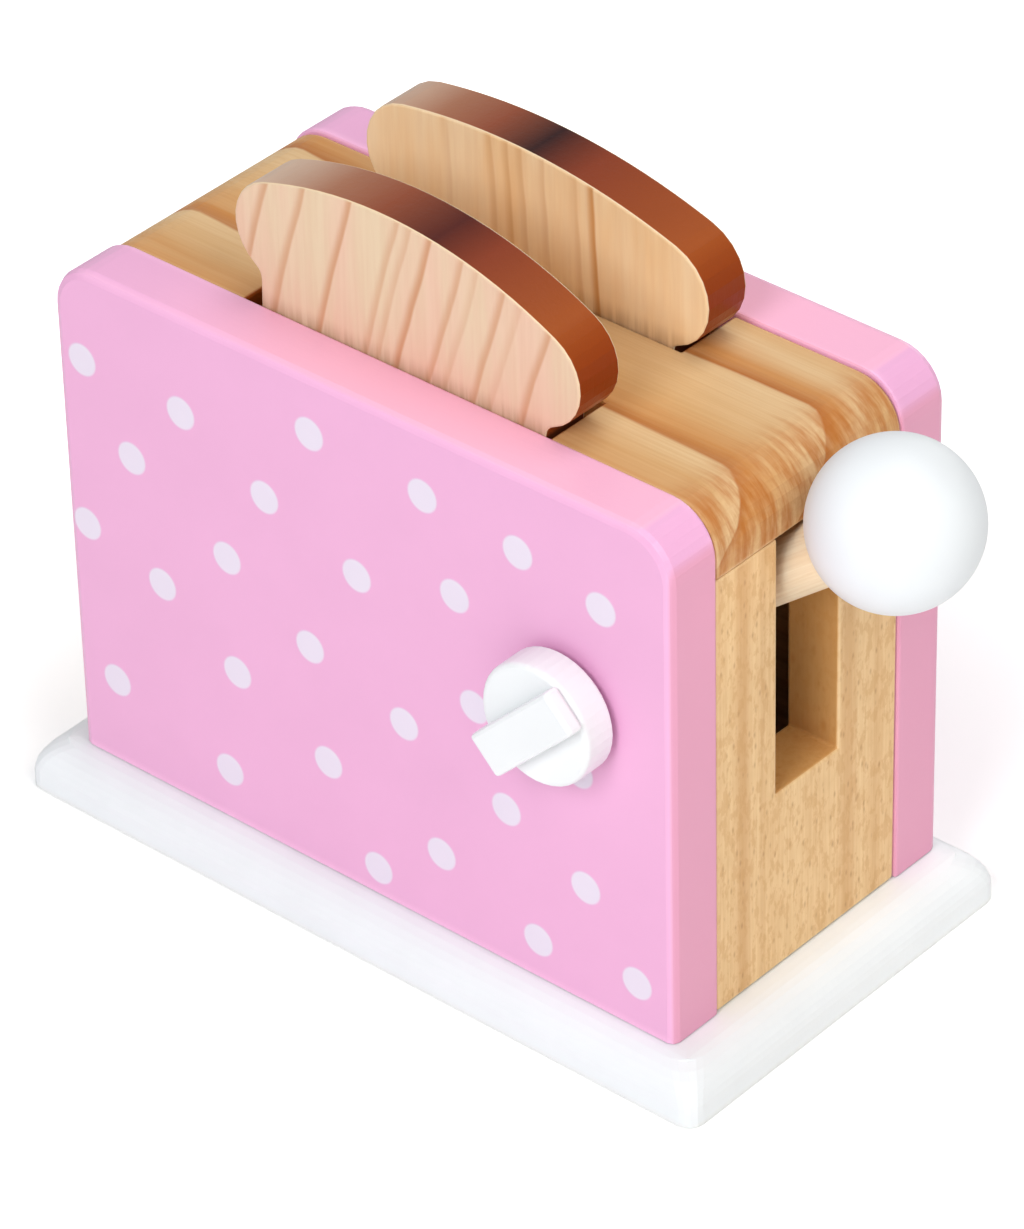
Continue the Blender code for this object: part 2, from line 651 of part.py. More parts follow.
def knob_disc(frame):
    radius = KNOB_DIAMETER / 2
    edge = KNOB_EDGE_RADIUS
    bore = KNOB_SCREW_DIAMETER / 2 + GLUE_GAP
    back = edge / 2
    rim = (radius - edge, KNOB_THICKNESS - edge)
    profile = [(0, KNOB_THICKNESS)]
    profile += arc(rim, edge, QUARTER_TURN, 0, CORNER_STEPS // 2)
    profile += [(radius, back), (radius - back, 0), (bore, 0)]
    profile += [(bore, KNOB_SCREW_BITE + GLUE_GAP), (0, KNOB_SCREW_BITE + GLUE_GAP)]
    disc = turned("knob_disc", profile, WHITE, BALL_STEPS)
    return place(disc, (0, -(WASHER_THICKNESS + 2 * GLUE_GAP), 0), ALONG_Y, frame)


def knob_grip(frame):
    size = (KNOB_GRIP_LENGTH, KNOB_GRIP_HEIGHT, KNOB_GRIP_WIDTH)
    grip = to_object(box_mesh(size), "knob_grip", WHITE)
    face = WASHER_THICKNESS + 3 * GLUE_GAP + KNOB_THICKNESS
    place(grip, (0, -(face + KNOB_GRIP_HEIGHT / 2), 0), (0, -KNOB_GRIP_ANGLE, 0), frame)
    soften(grip, KNOB_GRIP_ARRIS)
    return grip


def washer(name, frame, y):
    """A flat ring whose middle plane is at y, along the knob's axis."""
    outer = WASHER_DIAMETER / 2
    inner = KNOB_SCREW_DIAMETER / 2 + GLUE_GAP
    half = WASHER_THICKNESS / 2
    profile = [(inner, half), (outer, half), (outer, -half), (inner, -half)]
    return place(turned(name, profile, STEEL, closed=True), (0, y, 0), ALONG_Y, frame)


def knob_screw(frame, front):
    """A round-headed screw from the inside, through the front board into the disc."""
    under_head = SIDE_THICKNESS + WASHER_THICKNESS + 2 * GLUE_GAP
    length = under_head + WASHER_THICKNESS + 2 * GLUE_GAP + KNOB_SCREW_BITE
    radius = KNOB_SCREW_DIAMETER / 2
    head = KNOB_SCREW_HEAD / 2
    rise = KNOB_SCREW_HEAD_HEIGHT
    profile = [(0, length), (radius, length - radius), (radius, 0), (head, 0),
               (head, -rise / 2), (head / 2, -rise), (0, -rise)]
    place(turned("knob_screw", profile, STEEL, SCREW_STEPS), (0, under_head, 0), ALONG_Y, frame)
    spot = (0, SIDE_THICKNESS / 2, 0)
    bore = KNOB_SCREW_DIAMETER + 2 * GLUE_GAP
    through = SIDE_THICKNESS + 2 * CUT_OVERRUN
    cut(front, round_cutter("knob_screw_hole", bore, through, spot, ALONG_Y, frame))


def build():
    base = base_board()
    sides = {-1: side_board("front_board", -1), 1: side_board("back_board", 1)}
    cap = cap_board()
    ends = {1: end_board("lever_end", 1), -1: end_board("plain_end", -1)}
    lever_slot(ends[1])
    for end in ends.values():
        soften(end, BOARD_ARRIS)
    side_dowels(sides, ends)
    cap_dowels(cap, ends)
    base_screws(base, sides)

    pivot_pin(sides)
    lever = lever_frame()
    bpy.context.view_layer.update()
    rod = lever_rod(lever)
    lever_ball(lever)
    bar, screw_hole = lift_bar(lever)
    cut(rod, screw_hole)
    cut(bar, screw_hole)

    lift = lift_frame()
    bpy.context.view_layer.update()
    lift_board(lift)
    front_y = TOAST_THICKNESS / 2 + GLUE_GAP - INNER_DEPTH / 2
    back_y = TOAST_THICKNESS / 2 + GLUE_GAP + CENTRE_STRIP_WIDTH / 2
    outline = toast_outline(
        FRONT_TOAST_HEIGHT, FRONT_TOAST_DOME_DROP, FRONT_TOAST_LOBE_RADIUS,
        FRONT_TOAST_NECK_RADIUS)
    toast("front_toast", outline, FRONT_TOAST_END_GAP, lift, front_y)
    outline = toast_outline(
        BACK_TOAST_HEIGHT, BACK_TOAST_DOME_DROP, BACK_TOAST_LOBE_RADIUS,
        BACK_TOAST_NECK_RADIUS)
    toast("back_toast", outline, BACK_TOAST_END_GAP, lift, back_y)

    knob = knob_frame()
    bpy.context.view_layer.update()
    knob_disc(knob)
    knob_grip(knob)
    washer("knob_spacer", knob, -(WASHER_THICKNESS / 2 + GLUE_GAP))
    washer("knob_washer", knob, SIDE_THICKNESS + WASHER_THICKNESS / 2 + GLUE_GAP)
    knob_screw(knob, sides[-1])
    for piece in PARTS.objects:
        if piece.type == "MESH" and piece.data.polygons:
            piece.data.shade_smooth()
            piece.data.set_sharp_from_angle(angle=SHARP_ANGLE)


build()
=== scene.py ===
# %% [markdown]
# # A wooden toy toaster
#
# This notebook dresses a small play toaster: two pink side boards with pale
# dots, a pine cap with two slices of toast in it, beech ends, and a white
# knob, ball and base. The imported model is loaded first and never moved, so
# every finish and every finer piece below starts from its sizes.

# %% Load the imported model
import math

import bmesh
import bpy
from mathutils import Matrix, Vector


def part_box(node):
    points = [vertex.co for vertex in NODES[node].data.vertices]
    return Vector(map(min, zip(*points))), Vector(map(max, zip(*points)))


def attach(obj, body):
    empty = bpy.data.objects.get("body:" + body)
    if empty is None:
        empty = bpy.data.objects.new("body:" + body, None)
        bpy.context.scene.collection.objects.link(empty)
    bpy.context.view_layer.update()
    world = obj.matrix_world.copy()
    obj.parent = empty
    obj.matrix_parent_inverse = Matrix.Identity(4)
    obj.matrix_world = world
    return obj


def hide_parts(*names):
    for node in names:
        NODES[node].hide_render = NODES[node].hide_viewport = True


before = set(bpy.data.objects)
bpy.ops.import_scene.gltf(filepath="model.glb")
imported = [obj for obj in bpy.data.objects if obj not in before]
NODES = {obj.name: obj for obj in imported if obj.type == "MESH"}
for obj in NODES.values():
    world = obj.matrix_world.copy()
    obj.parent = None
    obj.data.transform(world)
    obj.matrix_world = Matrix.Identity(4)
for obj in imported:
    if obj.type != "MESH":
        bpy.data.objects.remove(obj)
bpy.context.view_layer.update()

MM = 0.001

# %% [markdown]
# ## Camera
#
# The toy was seen from above its front right corner with a long lens. A long
# lens makes the verticals almost parallel, so its place and its focal length
# matter more than usual. The camera is set from its own three axes, because
# the picture was taken with a small roll that Euler angles would hide.

# %% Camera
IMAGE_WIDTH, IMAGE_HEIGHT = 1024, 1229
FOCAL_PIXELS = 6493.7
LENS_CENTRE = (513.2, 608.4)
SENSOR_HEIGHT = 36
NEAREST_SEEN = 50 * MM
CAMERA_PLACE = Vector((718.74, -803.72, 819.10)) * MM
RIGHT = Vector((0.75659396, 0.65354973, -0.02093635))
DOWN = Vector((0.36396955, -0.44752384, -0.81685285))


def add_camera():
    forward = RIGHT.cross(DOWN)
    turn = Matrix((RIGHT, -DOWN, -forward)).transposed().to_4x4()
    lens = bpy.data.cameras.new("camera")
    lens.sensor_fit = "VERTICAL"
    lens.sensor_height = SENSOR_HEIGHT
    lens.lens = FOCAL_PIXELS * SENSOR_HEIGHT / IMAGE_HEIGHT
    lens.shift_x = (IMAGE_WIDTH / 2 - LENS_CENTRE[0]) / IMAGE_HEIGHT
    lens.shift_y = (LENS_CENTRE[1] - IMAGE_HEIGHT / 2) / IMAGE_HEIGHT
    lens.clip_start = NEAREST_SEEN
    camera = bpy.data.objects.new("camera", lens)
    bpy.context.scene.collection.objects.link(camera)
    camera.matrix_world = Matrix.Translation(CAMERA_PLACE) @ turn
    bpy.context.scene.camera = camera
    return camera


camera = add_camera()
print("lens", round(camera.data.lens, 1), "mm")

# %% [markdown]
# ## White tent
#
# The toy stands in an even white tent of light. A tent could be modelled, but
# a pale world does the same: it lights the toy softly from all sides, and is
# pure white to the camera and to reflections, so the paint mirrors white and
# the toy stands free on the page.

# %% World
TENT_COLOUR = (0.95, 0.97, 1.0)
TENT_STRENGTH = 0.26
bpy.context.scene.view_settings.view_transform = "Standard"


def white_world():
    world = bpy.data.worlds.new("tent")
    bpy.context.scene.world = world
    world.use_nodes = True
    tree = world.node_tree
    tree.nodes.clear()
    soft = tree.nodes.new("ShaderNodeBackground")
    soft.inputs["Color"].default_value = (*TENT_COLOUR, 1)
    soft.inputs["Strength"].default_value = TENT_STRENGTH
    seen = tree.nodes.new("ShaderNodeBackground")
    seen.inputs["Strength"].default_value = 1.0
    rays = tree.nodes.new("ShaderNodeLightPath")
    sees_white = rays.outputs["Is Camera Ray"]
    for kind in ("Is Glossy Ray", "Is Transmission Ray"):
        either = tree.nodes.new("ShaderNodeMath")
        either.operation = "MAXIMUM"
        tree.links.new(sees_white, either.inputs[0])
        tree.links.new(rays.outputs[kind], either.inputs[1])
        sees_white = either.outputs[0]
    mix = tree.nodes.new("ShaderNodeMixShader")
    out = tree.nodes.new("ShaderNodeOutputWorld")
    tree.links.new(sees_white, mix.inputs[0])
    tree.links.new(soft.outputs[0], mix.inputs[1])
    tree.links.new(seen.outputs[0], mix.inputs[2])
    tree.links.new(mix.outputs[0], out.inputs["Surface"])
    return world


print("world:", white_world().name)

# %% [markdown]
# ## Lamps
#
# Five round soft lamps give the light its direction. The key lamp hangs high
# on the left of the camera, in front of the dotted side. A warm one high on
# the right keeps the lever end bright, and a low one under the camera fills
# the shade. One overhead lights the cap, and a weak one behind the toy keeps
# the back board from going dull. They are wide, because small lamps would
# cast hard shadows of the toast and the ball.

# %% Lamps
AIM = Vector((0, 0, 60)) * MM
# Name, place in metres, width in metres, power in watts, colour.
LAMPS = [
    ("key", (0.3, -1.3, 1.12), 0.8, 14.0, (0.97, 0.98, 1.0)),
    ("warm_side", (1.0, -0.2, 1.15), 0.9, 6.5, (1.0, 0.96, 0.88)),
    ("fill", (1.05, -0.95, 0.3), 0.8, 1.3, (1.0, 0.98, 0.95)),
    ("top", (0.1, 0.4, 1.5), 0.8, 5.4, (1, 1, 1)),
    ("back", (-0.3, 1.4, 0.3), 0.8, 2.2, (1, 1, 1)),
]


def area_lamp(name, place, width, power, colour):
    data = bpy.data.lights.new(name, "AREA")
    data.shape = "DISK"
    data.size = width
    data.energy = power
    data.color = colour
    lamp = bpy.data.objects.new(name, data)
    bpy.context.scene.collection.objects.link(lamp)
    lamp.location = place
    lamp.rotation_euler = (AIM - Vector(place)).to_track_quat("-Z", "Y").to_euler()
    return lamp


lamps = [area_lamp(*values) for values in LAMPS]
print("lamps:", [lamp.name for lamp in lamps])

# %% [markdown]
# ## Node helpers
#
# Wood, paint and steel here are all drawn by nodes, measured in metres from
# the middle of the toy. The helpers below keep each material short: each adds
# one node, and joins sockets or types in values. Colours are written as they
# look on screen, from 0 to 255, and turned into the linear values that a
# shader needs.

# %% Node helpers
def on_screen(red, green, blue):
    """Linear colour from a screen colour, by the sRGB curve."""
    def linear(part):
        share = part / 255
        return share / 12.92 if share <= 0.04045 else ((share + 0.055) / 1.055) ** 2.4
    return (linear(red), linear(green), linear(blue), 1)


def feed(tree, socket, value):
    if isinstance(value, bpy.types.NodeSocket):
        tree.links.new(value, socket)
    else:
        socket.default_value = value


def maths(tree, operation, *values):
    node = tree.nodes.new("ShaderNodeMath")
    node.operation = operation
    for socket, value in zip(node.inputs, values):
        feed(tree, socket, value)
    return node.outputs[0]


def times(tree, first, second):
    return maths(tree, "MULTIPLY", first, second)


def vector_maths(tree, operation, *values):
    node = tree.nodes.new("ShaderNodeVectorMath")
    node.operation = operation
    for socket, value in zip(node.inputs, values):
        feed(tree, socket, value)
    return node.outputs["Value" if operation in ("DISTANCE", "LENGTH") else 0]


def split(tree, vector):
    """The x, y and z of a vector."""
    node = tree.nodes.new("ShaderNodeSeparateXYZ")
    feed(tree, node.inputs[0], vector)
    return node.outputs


def remap(tree, value, low, high, to_low=0.0, to_high=1.0, kind="SMOOTHSTEP"):
    """Take low to high over to to_low to to_high, and stop at both ends."""
    node = tree.nodes.new("ShaderNodeMapRange")
    node.interpolation_type = kind
    for label, item in (("Value", value), ("From Min", low), ("From Max", high),
                        ("To Min", to_low), ("To Max", to_high)):
        feed(tree, node.inputs[label], item)
    return node.outputs[0]


def noise(tree, place, scale, detail=2, roughness=0.5):
    node = tree.nodes.new("ShaderNodeTexNoise")
    node.inputs["Scale"].default_value = scale
    node.inputs["Detail"].default_value = detail
    node.inputs["Roughness"].default_value = roughness
    feed(tree, node.inputs["Vector"], place)
    return node.outputs[0]


print("dark toast is", [round(part, 3) for part in on_screen(100, 45, 45)[:3]])

# %% [markdown]
# ## Mixing colours
#
# A finish is built up as a painter would: a ground of two near tones, and
# then one thin tint after another, each laid on through a mask. The mask is 1
# where the tint is full, and its strength says how much of it stays.

# %% Colour helpers
def blend(tree, share, first, second):
    node = tree.nodes.new("ShaderNodeMix")
    node.data_type = "RGBA"
    # Sockets 6 and 7 of a Mix node are its two colours.
    feed(tree, node.inputs[0], share)
    feed(tree, node.inputs[6], first)
    feed(tree, node.inputs[7], second)
    return node.outputs[2]


def two_tones(tree, share, first, second):
    return blend(tree, share, on_screen(*first), on_screen(*second))


def tint(tree, colour, mask, tone, strength=1.0):
    return blend(tree, times(tree, mask, strength), colour, on_screen(*tone))


def ramp(tree, value, stops):
    """Colour ramp from a list of (place from 0 to 1, screen colour), in rising order."""
    node = tree.nodes.new("ShaderNodeValToRGB")
    feed(tree, node.inputs[0], value)
    points = node.color_ramp.elements
    for place, tone in stops[2:]:
        points.new(place)
    for point, (place, tone) in zip(points, stops):
        point.position = place
    for point, (place, tone) in zip(points, stops):
        point.color = on_screen(*tone)
    return node.outputs[0]


print("colour helpers:", blend.__name__, two_tones.__name__, tint.__name__, ramp.__name__)

# %% [markdown]
# ## Groups
#
# Some effects are shared by several finishes. Each of them is a node group
# with named sockets, made once, so each finish only picks its values. A group
# gives out masks and heights, and the shader stays in the finish itself.

# %% Group helpers
def new_group(name, inputs, outputs):
    group = bpy.data.node_groups.new(name, "ShaderNodeTree")
    for label, kind, value in inputs:
        socket = group.interface.new_socket(label, in_out="INPUT", socket_type="NodeSocket" + kind)
        socket.default_value = value
    for label in outputs:
        group.interface.new_socket(label, in_out="OUTPUT", socket_type="NodeSocketFloat")
    start = group.nodes.new("NodeGroupInput")
    end = group.nodes.new("NodeGroupOutput")
    return group, start.outputs, end.inputs


def use_group(tree, group, **values):
    """Place a group in a tree; Per_Metre stands for its socket Per Metre."""
    node = tree.nodes.new("ShaderNodeGroup")
    node.node_tree = group
    for label, value in values.items():
        feed(tree, node.inputs[label.replace("_", " ")], value)
    return node.outputs


print("groups so far:", len(bpy.data.node_groups))

# %% [markdown]
# ## Fibres
#
# Planed wood shows long fibres. They could be drawn as waves, but real ones
# start and end at random, so noise is stretched along the grain instead. Each
# wood says how many fibres it has to a metre along x, y and z: few along the
# grain, and many across it.

# %% Fibres
NOISE_LOW, NOISE_HIGH = 0.3, 0.7
FIBRE_DETAIL = 3
FIBRE_ROUGHNESS = 0.6


def fibre_group():
    group, given, made = new_group(
        "fibres", [("Place", "Vector", (0, 0, 0)), ("Per Metre", "Vector", (10, 500, 500))],
        ["Share"])
    stretched = vector_maths(group, "MULTIPLY", given["Place"], given["Per Metre"])
    fibre = noise(group, stretched, 1, FIBRE_DETAIL, FIBRE_ROUGHNESS)
    feed(group, made["Share"], remap(group, fibre, NOISE_LOW, NOISE_HIGH))
    return group


FIBRES = fibre_group()


def fibres(tree, place, per_metre):
    return use_group(tree, FIBRES, Place=place, Per_Metre=per_metre)["Share"]


print("group:", FIBRES.name)

# %% [markdown]
# ## Flecks
#
# Beech is full of short brown flecks, each a ray that the saw has cut. Round
# spots would look like dirt, so these are the cells of a Voronoi pattern that
# is stretched along the grain. A cell's own random colour decides whether it
# holds a fleck at all.

# %% Flecks
def fleck_group():
    group, given, made = new_group(
        "flecks", [("Place", "Vector", (0, 0, 0)), ("Per Metre", "Vector", (500, 500, 200)),
                   ("Size", "Float", 0.3), ("Rarity", "Float", 0.7)], ["Mask"])
    cells = group.nodes.new("ShaderNodeTexVoronoi")
    cells.inputs["Scale"].default_value = 1
    feed(group, cells.inputs["Vector"],
         vector_maths(group, "MULTIPLY", given["Place"], given["Per Metre"]))
    core = remap(group, cells.outputs["Distance"], given["Size"], 0.0)
    lot = group.nodes.new("ShaderNodeSeparateColor")
    feed(group, lot.inputs[0], cells.outputs["Color"])
    chosen = maths(group, "GREATER_THAN", lot.outputs[0], given["Rarity"])
    feed(group, made["Mask"], times(group, core, chosen))
    return group


FLECKS = fleck_group()


def flecks(tree, place, per_metre, size):
    """Flecks in one cell out of five."""
    return use_group(tree, FLECKS, Place=place, Per_Metre=per_metre, Size=size,
                     Rarity=0.8)["Mask"]


print("group:", FLECKS.name)

# %% [markdown]
# ## Edges of a board
#
# Boards look paler or duller along their arrises. On the base this is rubbed
# wear, on the pink boards and the beech ends it is a painted highlight where
# light catches the arris, and on the cap it is some of each. A bevel node could
# find any edge, but it is slow, and these boards are all boxes: a point is on
# an arris when it is close to two faces of the box at once.

# %% Edges
def edge_group():
    group, given, made = new_group(
        "board_edges", [("Place", "Vector", (0, 0, 0)), ("Low", "Vector", (0, 0, 0)),
                        ("High", "Vector", (1, 1, 1)), ("Width", "Float", 0.001)], ["Mask"])
    from_low = vector_maths(group, "SUBTRACT", given["Place"], given["Low"])
    from_high = vector_maths(group, "SUBTRACT", given["High"], given["Place"])
    depths = split(group, vector_maths(group, "MINIMUM", from_low, from_high))
    close = [remap(group, depth, given["Width"], 0.0) for depth in depths]
    pairs = [times(group, close[i], close[i - 1]) for i in range(3)]
    widest = maths(group, "MAXIMUM", pairs[0], maths(group, "MAXIMUM", pairs[1], pairs[2]))
    feed(group, made["Mask"], widest)
    return group


EDGES = edge_group()


def edges(tree, place, node_name, width):
    low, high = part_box(node_name)
    return use_group(tree, EDGES, Place=place, Low=tuple(low), High=tuple(high),
                     Width=width)["Mask"]


print("group:", EDGES.name)

# %% [markdown]
# ## Skin of a coat
#
# Sprayed or brushed paint dries with a fine skin, like orange peel, and the
# wood's grain still shows through it as faint ridges. The coat is also a
# little smoother in some places than in others, in soft clouds.

# %% Skin
PEEL_PER_METRE = 900
CLOUDS_PER_METRE = 45
CLOUD_DETAIL = 3
CLOUD_LOW, CLOUD_HIGH = 0.35, 0.65
SMOOTHER, ROUGHER = -0.05, 0.06
GRAIN_IN_RELIEF = 0.35


def skin_group():
    group, given, made = new_group(
        "coat_skin", [("Place", "Vector", (0, 0, 0)), ("Grain Per Metre", "Vector", (40, 900, 900)),
                      ("Sheen", "Float", 0.35)], ["Roughness", "Height", "Shade"])
    peel = noise(group, given["Place"], PEEL_PER_METRE)
    cloud = noise(group, given["Place"], CLOUDS_PER_METRE, CLOUD_DETAIL)
    grain = fibres(group, given["Place"], given["Grain Per Metre"])
    feed(group, made["Height"], maths(group, "MULTIPLY_ADD", grain, GRAIN_IN_RELIEF, peel))
    rubbed = remap(group, cloud, CLOUD_LOW, CLOUD_HIGH, SMOOTHER, ROUGHER)
    feed(group, made["Roughness"], maths(group, "ADD", given["Sheen"], rubbed))
    feed(group, made["Shade"], remap(group, cloud, NOISE_LOW, NOISE_HIGH))
    return group


SKIN = skin_group()
print("group:", SKIN.name)

# %% [markdown]
# ## Start and end of a finish
#
# Every finish starts with a Principled shader and the place of the point in
# metres, and ends by being laid on its pieces. The pieces sit at the origin
# with their place in the mesh, so Object coordinates are places on the toy.
# Bump gives the fine relief, because real displacement would need far more
# faces for ridges a hair deep.

# %% Finish helpers
def new_material(name, gloss):
    made = bpy.data.materials.new(name)
    made.use_nodes = True
    tree = made.node_tree
    shader = tree.nodes["Principled BSDF"]
    shader.inputs["Specular IOR Level"].default_value = gloss
    place = tree.nodes.new("ShaderNodeTexCoord").outputs["Object"]
    return made, tree, shader, place


def roughen(tree, shader, share, smooth, rough):
    feed(tree, shader.inputs["Roughness"],
         remap(tree, share, 0.0, 1.0, smooth, rough, "LINEAR"))


def bump(tree, shader, height, depth):
    node = tree.nodes.new("ShaderNodeBump")
    node.inputs["Strength"].default_value = 1.0
    node.inputs["Distance"].default_value = depth
    feed(tree, node.inputs["Height"], height)
    feed(tree, shader.inputs["Normal"], node.outputs[0])


def dress(made, *names):
    for name in names:
        slots = NODES[name].data.materials
        slots.clear()
        slots.append(made)


print("pieces to dress:", len(NODES))

# %% [markdown]
# ## Dots
#
# The dots on the sides are a second, very pale coat through a stencil. They
# could be thin discs, but paint has no thickness to speak of, so they are a
# mask: the distance to the nearest of the dots' middles, cut off at the dot's
# radius with a slightly soft rim. They lie in one loose pattern on each side.

# %% Dots
DOT_RADIUS = 3.7 * MM
DOT_SOFTNESS = 0.35 * MM
# Dots lie only on what is this close to the outer face.
COAT_DEPTH = 1.2 * MM
# The middle of each dot, along the board and up, in millimetres.
DOTS = [(-73.3, 110.0), (-46.3, 108.4), (-11.3, 118.1), (18.1, 116.1), (42.3, 113.4),
        (63.0, 109.3), (-60.9, 91.4), (-24.3, 97.6), (25.7, 95.9), (-0.1, 89.3),
        (-35.6, 78.0), (-75.0, 69.4), (-54.4, 63.3), (-13.7, 66.0), (11.1, 58.4),
        (30.0, 71.3), (56.6, 68.0), (37.7, 49.9), (-34.4, 50.3), (-10.1, 39.0),
        (58.0, 40.3), (-69.4, 32.4), (-38.1, 24.0), (20.0, 30.3), (2.6, 18.3),
        (45.3, 21.0), (70.9, 22.9)]


def dot_mask(tree, place, facing):
    """Dots on the outer face; facing is -1 for the front board and 1 for the back one."""
    flat = vector_maths(tree, "MULTIPLY", place, (-facing, 0, 1))
    nearest = None
    for x, z in DOTS:
        distance = vector_maths(tree, "DISTANCE", flat, (x * MM, 0, z * MM))
        nearest = distance if nearest is None else maths(tree, "MINIMUM", nearest, distance)
    inside = remap(tree, nearest, DOT_RADIUS + DOT_SOFTNESS, DOT_RADIUS - DOT_SOFTNESS)
    outwards = times(tree, split(tree, place)[1], facing)
    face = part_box("back_board")[1][1] - COAT_DEPTH
    return times(tree, inside, maths(tree, "GREATER_THAN", outwards, face))


print("dots on each side:", len(DOTS))

# %% [markdown]
# ## Pink paint
#
# The side boards are satin pink. A lighter line along the arrises is a
# painted highlight. The top face is painted warmer towards the lever, as
# painted warm light from the lamp on that side, and the ends are painted
# darker, as painted shade. Only the outside is painted, so deep between the
# boards the sawn wood stays bare, coloured darker as painted shade inside.

# %% Pink paint
PINK = (239, 177, 216)
CLOUD_PINK = (241, 179, 218)
HIGHLIGHT_PINK = (250, 190, 226)
WARM_LIT_PINK = (252, 187, 216)
SHADED_END_PINK = (235, 164, 193)
DOT_WHITE = (235, 224, 239)
BARE_SHADED_PALE, BARE_SHADED_DARK = (176, 130, 84), (150, 104, 62)
PINK_ARRIS = 2.2 * MM
# Each pair is where a tint starts and where it is full.
TOP_FACE = (0.6 * MM, 0.2 * MM)
WARM_LIGHT_STRETCH = (-70 * MM, -5 * MM)
SHADED_END_REACH = (1.2 * MM, 0.2 * MM)
PAINTED_RIM = (5 * MM, 6 * MM)
FACE_TOLERANCE = 0.05 * MM
DOT_RELIEF = 0.8


def pink_coat(tree, place, name, shade, from_end):
    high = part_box(name)[1]
    x, y, z = split(tree, place)
    pink = two_tones(tree, shade, PINK, CLOUD_PINK)
    # A pale line along the arrises is a painted highlight.
    pink = tint(tree, pink, edges(tree, place, name, PINK_ARRIS), HIGHLIGHT_PINK)
    # The top face is painted warmer towards the lever: painted warm light from the lamp on that side.
    on_top = remap(tree, z, high[2] - TOP_FACE[0], high[2] - TOP_FACE[1])
    towards_lever = remap(tree, x, *WARM_LIGHT_STRETCH)
    pink = tint(tree, pink, times(tree, on_top, towards_lever), WARM_LIT_PINK)
    # The ends are painted darker: painted shade.
    return tint(tree, pink, remap(tree, from_end, *SHADED_END_REACH), SHADED_END_PINK)


def bare_mask(tree, place, name, facing, from_end):
    """The inner face, more than a few millimetres inside its rim."""
    low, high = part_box(name)
    x, y, z = split(tree, place)
    inner = abs(low[1] if facing > 0 else high[1]) + FACE_TOLERANCE
    covered = maths(tree, "LESS_THAN", times(tree, y, facing), inner)
    from_rim = maths(tree, "MINIMUM", from_end, maths(tree, "SUBTRACT", high[2], z))
    return times(tree, covered, remap(tree, from_rim, *PAINTED_RIM))


def pink_paint(name, facing):
    made, tree, shader, place = new_material("pink_paint_" + name, gloss=0.35)
    skin = use_group(tree, SKIN, Place=place, Grain_Per_Metre=(30, 700, 700), Sheen=0.36)
    along = maths(tree, "ABSOLUTE", split(tree, place)[0])
    from_end = maths(tree, "SUBTRACT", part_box(name)[1][0], along)
    pink = pink_coat(tree, place, name, skin["Shade"], from_end)
    dots = dot_mask(tree, place, facing)
    colour = tint(tree, pink, dots, DOT_WHITE)
    # Bare sawn wood inside the box, coloured darker as painted shade of the closed inside.
    bare_shaded_wood = two_tones(tree, fibres(tree, place, (12, 300, 300)), BARE_SHADED_PALE, BARE_SHADED_DARK)
    bare = bare_mask(tree, place, name, facing, from_end)
    feed(tree, shader.inputs["Base Color"], blend(tree, bare, colour, bare_shaded_wood))
    feed(tree, shader.inputs["Roughness"], skin["Roughness"])
    bump(tree, shader, maths(tree, "MULTIPLY_ADD", dots, DOT_RELIEF, skin["Height"]), depth=0.02 * MM)
    return made


dress(pink_paint("front_board", -1), "front_board")
dress(pink_paint("back_board", 1), "back_board")
print("pink boards: front_board, back_board")

# %% [markdown]
# ## White paint
#
# The base and the knob have the same satin white paint. The ball's is a
# flatter one, so its round shape shows as one soft shade with no hard light
# in it. A white that is written too bright loses all shape, so these stay
# just under it. The base is rubbed a little duller along its edges.

# %% White paint
BASE_WHITE = (243, 247, 249)
KNOB_WHITE = (244, 247, 248)
BALL_WHITE = (238, 242, 245)
RUBBED_WHITE = (238, 240, 239)
CLOUD_STEP = 3
RUBBED_WIDTH = 1.5 * MM


def white_paint(name, white, sheen=0.34, rubbed_node=None):
    made, tree, shader, place = new_material(name, gloss=0.4)
    skin = use_group(tree, SKIN, Place=place, Grain_Per_Metre=(35, 800, 800), Sheen=sheen)
    duller = tuple(part - CLOUD_STEP for part in white)
    colour = two_tones(tree, skin["Shade"], duller, white)
    if rubbed_node:
        rubbed = edges(tree, place, rubbed_node, RUBBED_WIDTH)
        colour = tint(tree, colour, rubbed, RUBBED_WHITE)
    feed(tree, shader.inputs["Base Color"], colour)
    feed(tree, shader.inputs["Roughness"], skin["Roughness"])
    bump(tree, shader, skin["Height"], depth=0.015 * MM)
    return made


BALL_PAINT = white_paint("white_paint_ball", BALL_WHITE, sheen=0.5)
dress(white_paint("white_paint_base", BASE_WHITE, rubbed_node="base_board"), "base_board")
dress(white_paint("white_paint_knob", KNOB_WHITE), "knob_disc", "knob_grip")
dress(BALL_PAINT, "lever_ball")
print("white pieces: base_board, knob_disc, knob_grip, lever_ball")

# %% [markdown]
# ## Ball
#
# The ball is the one large round shape, and it has a soft gradient of light
# from side to side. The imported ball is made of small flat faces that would
# show in that gradient, so a finer one stands in its place. It is turned
# from a profile, as the real one is on a lathe: from its far pole round to the
# mouth of the socket, and down the socket to its floor.

# %% Profile of the ball
BALL_RADIUS = 17.5 * MM
SOCKET_RADIUS = 7.3 * MM
SOCKET_DEPTH = 15 * MM
BALL_RINGS = 48


def ball_profile():
    """Points in the plane of the rod's axis, as (distance out, place along the axis)."""
    mouth = math.asin(SOCKET_RADIUS / BALL_RADIUS)
    points = []
    for i in range(BALL_RINGS + 1):
        angle = (math.pi - mouth) * i / BALL_RINGS
        points.append((BALL_RADIUS * math.sin(angle), BALL_RADIUS * math.cos(angle)))
    floor = SOCKET_DEPTH - BALL_RADIUS
    return points + [(SOCKET_RADIUS, floor), (0, floor)]


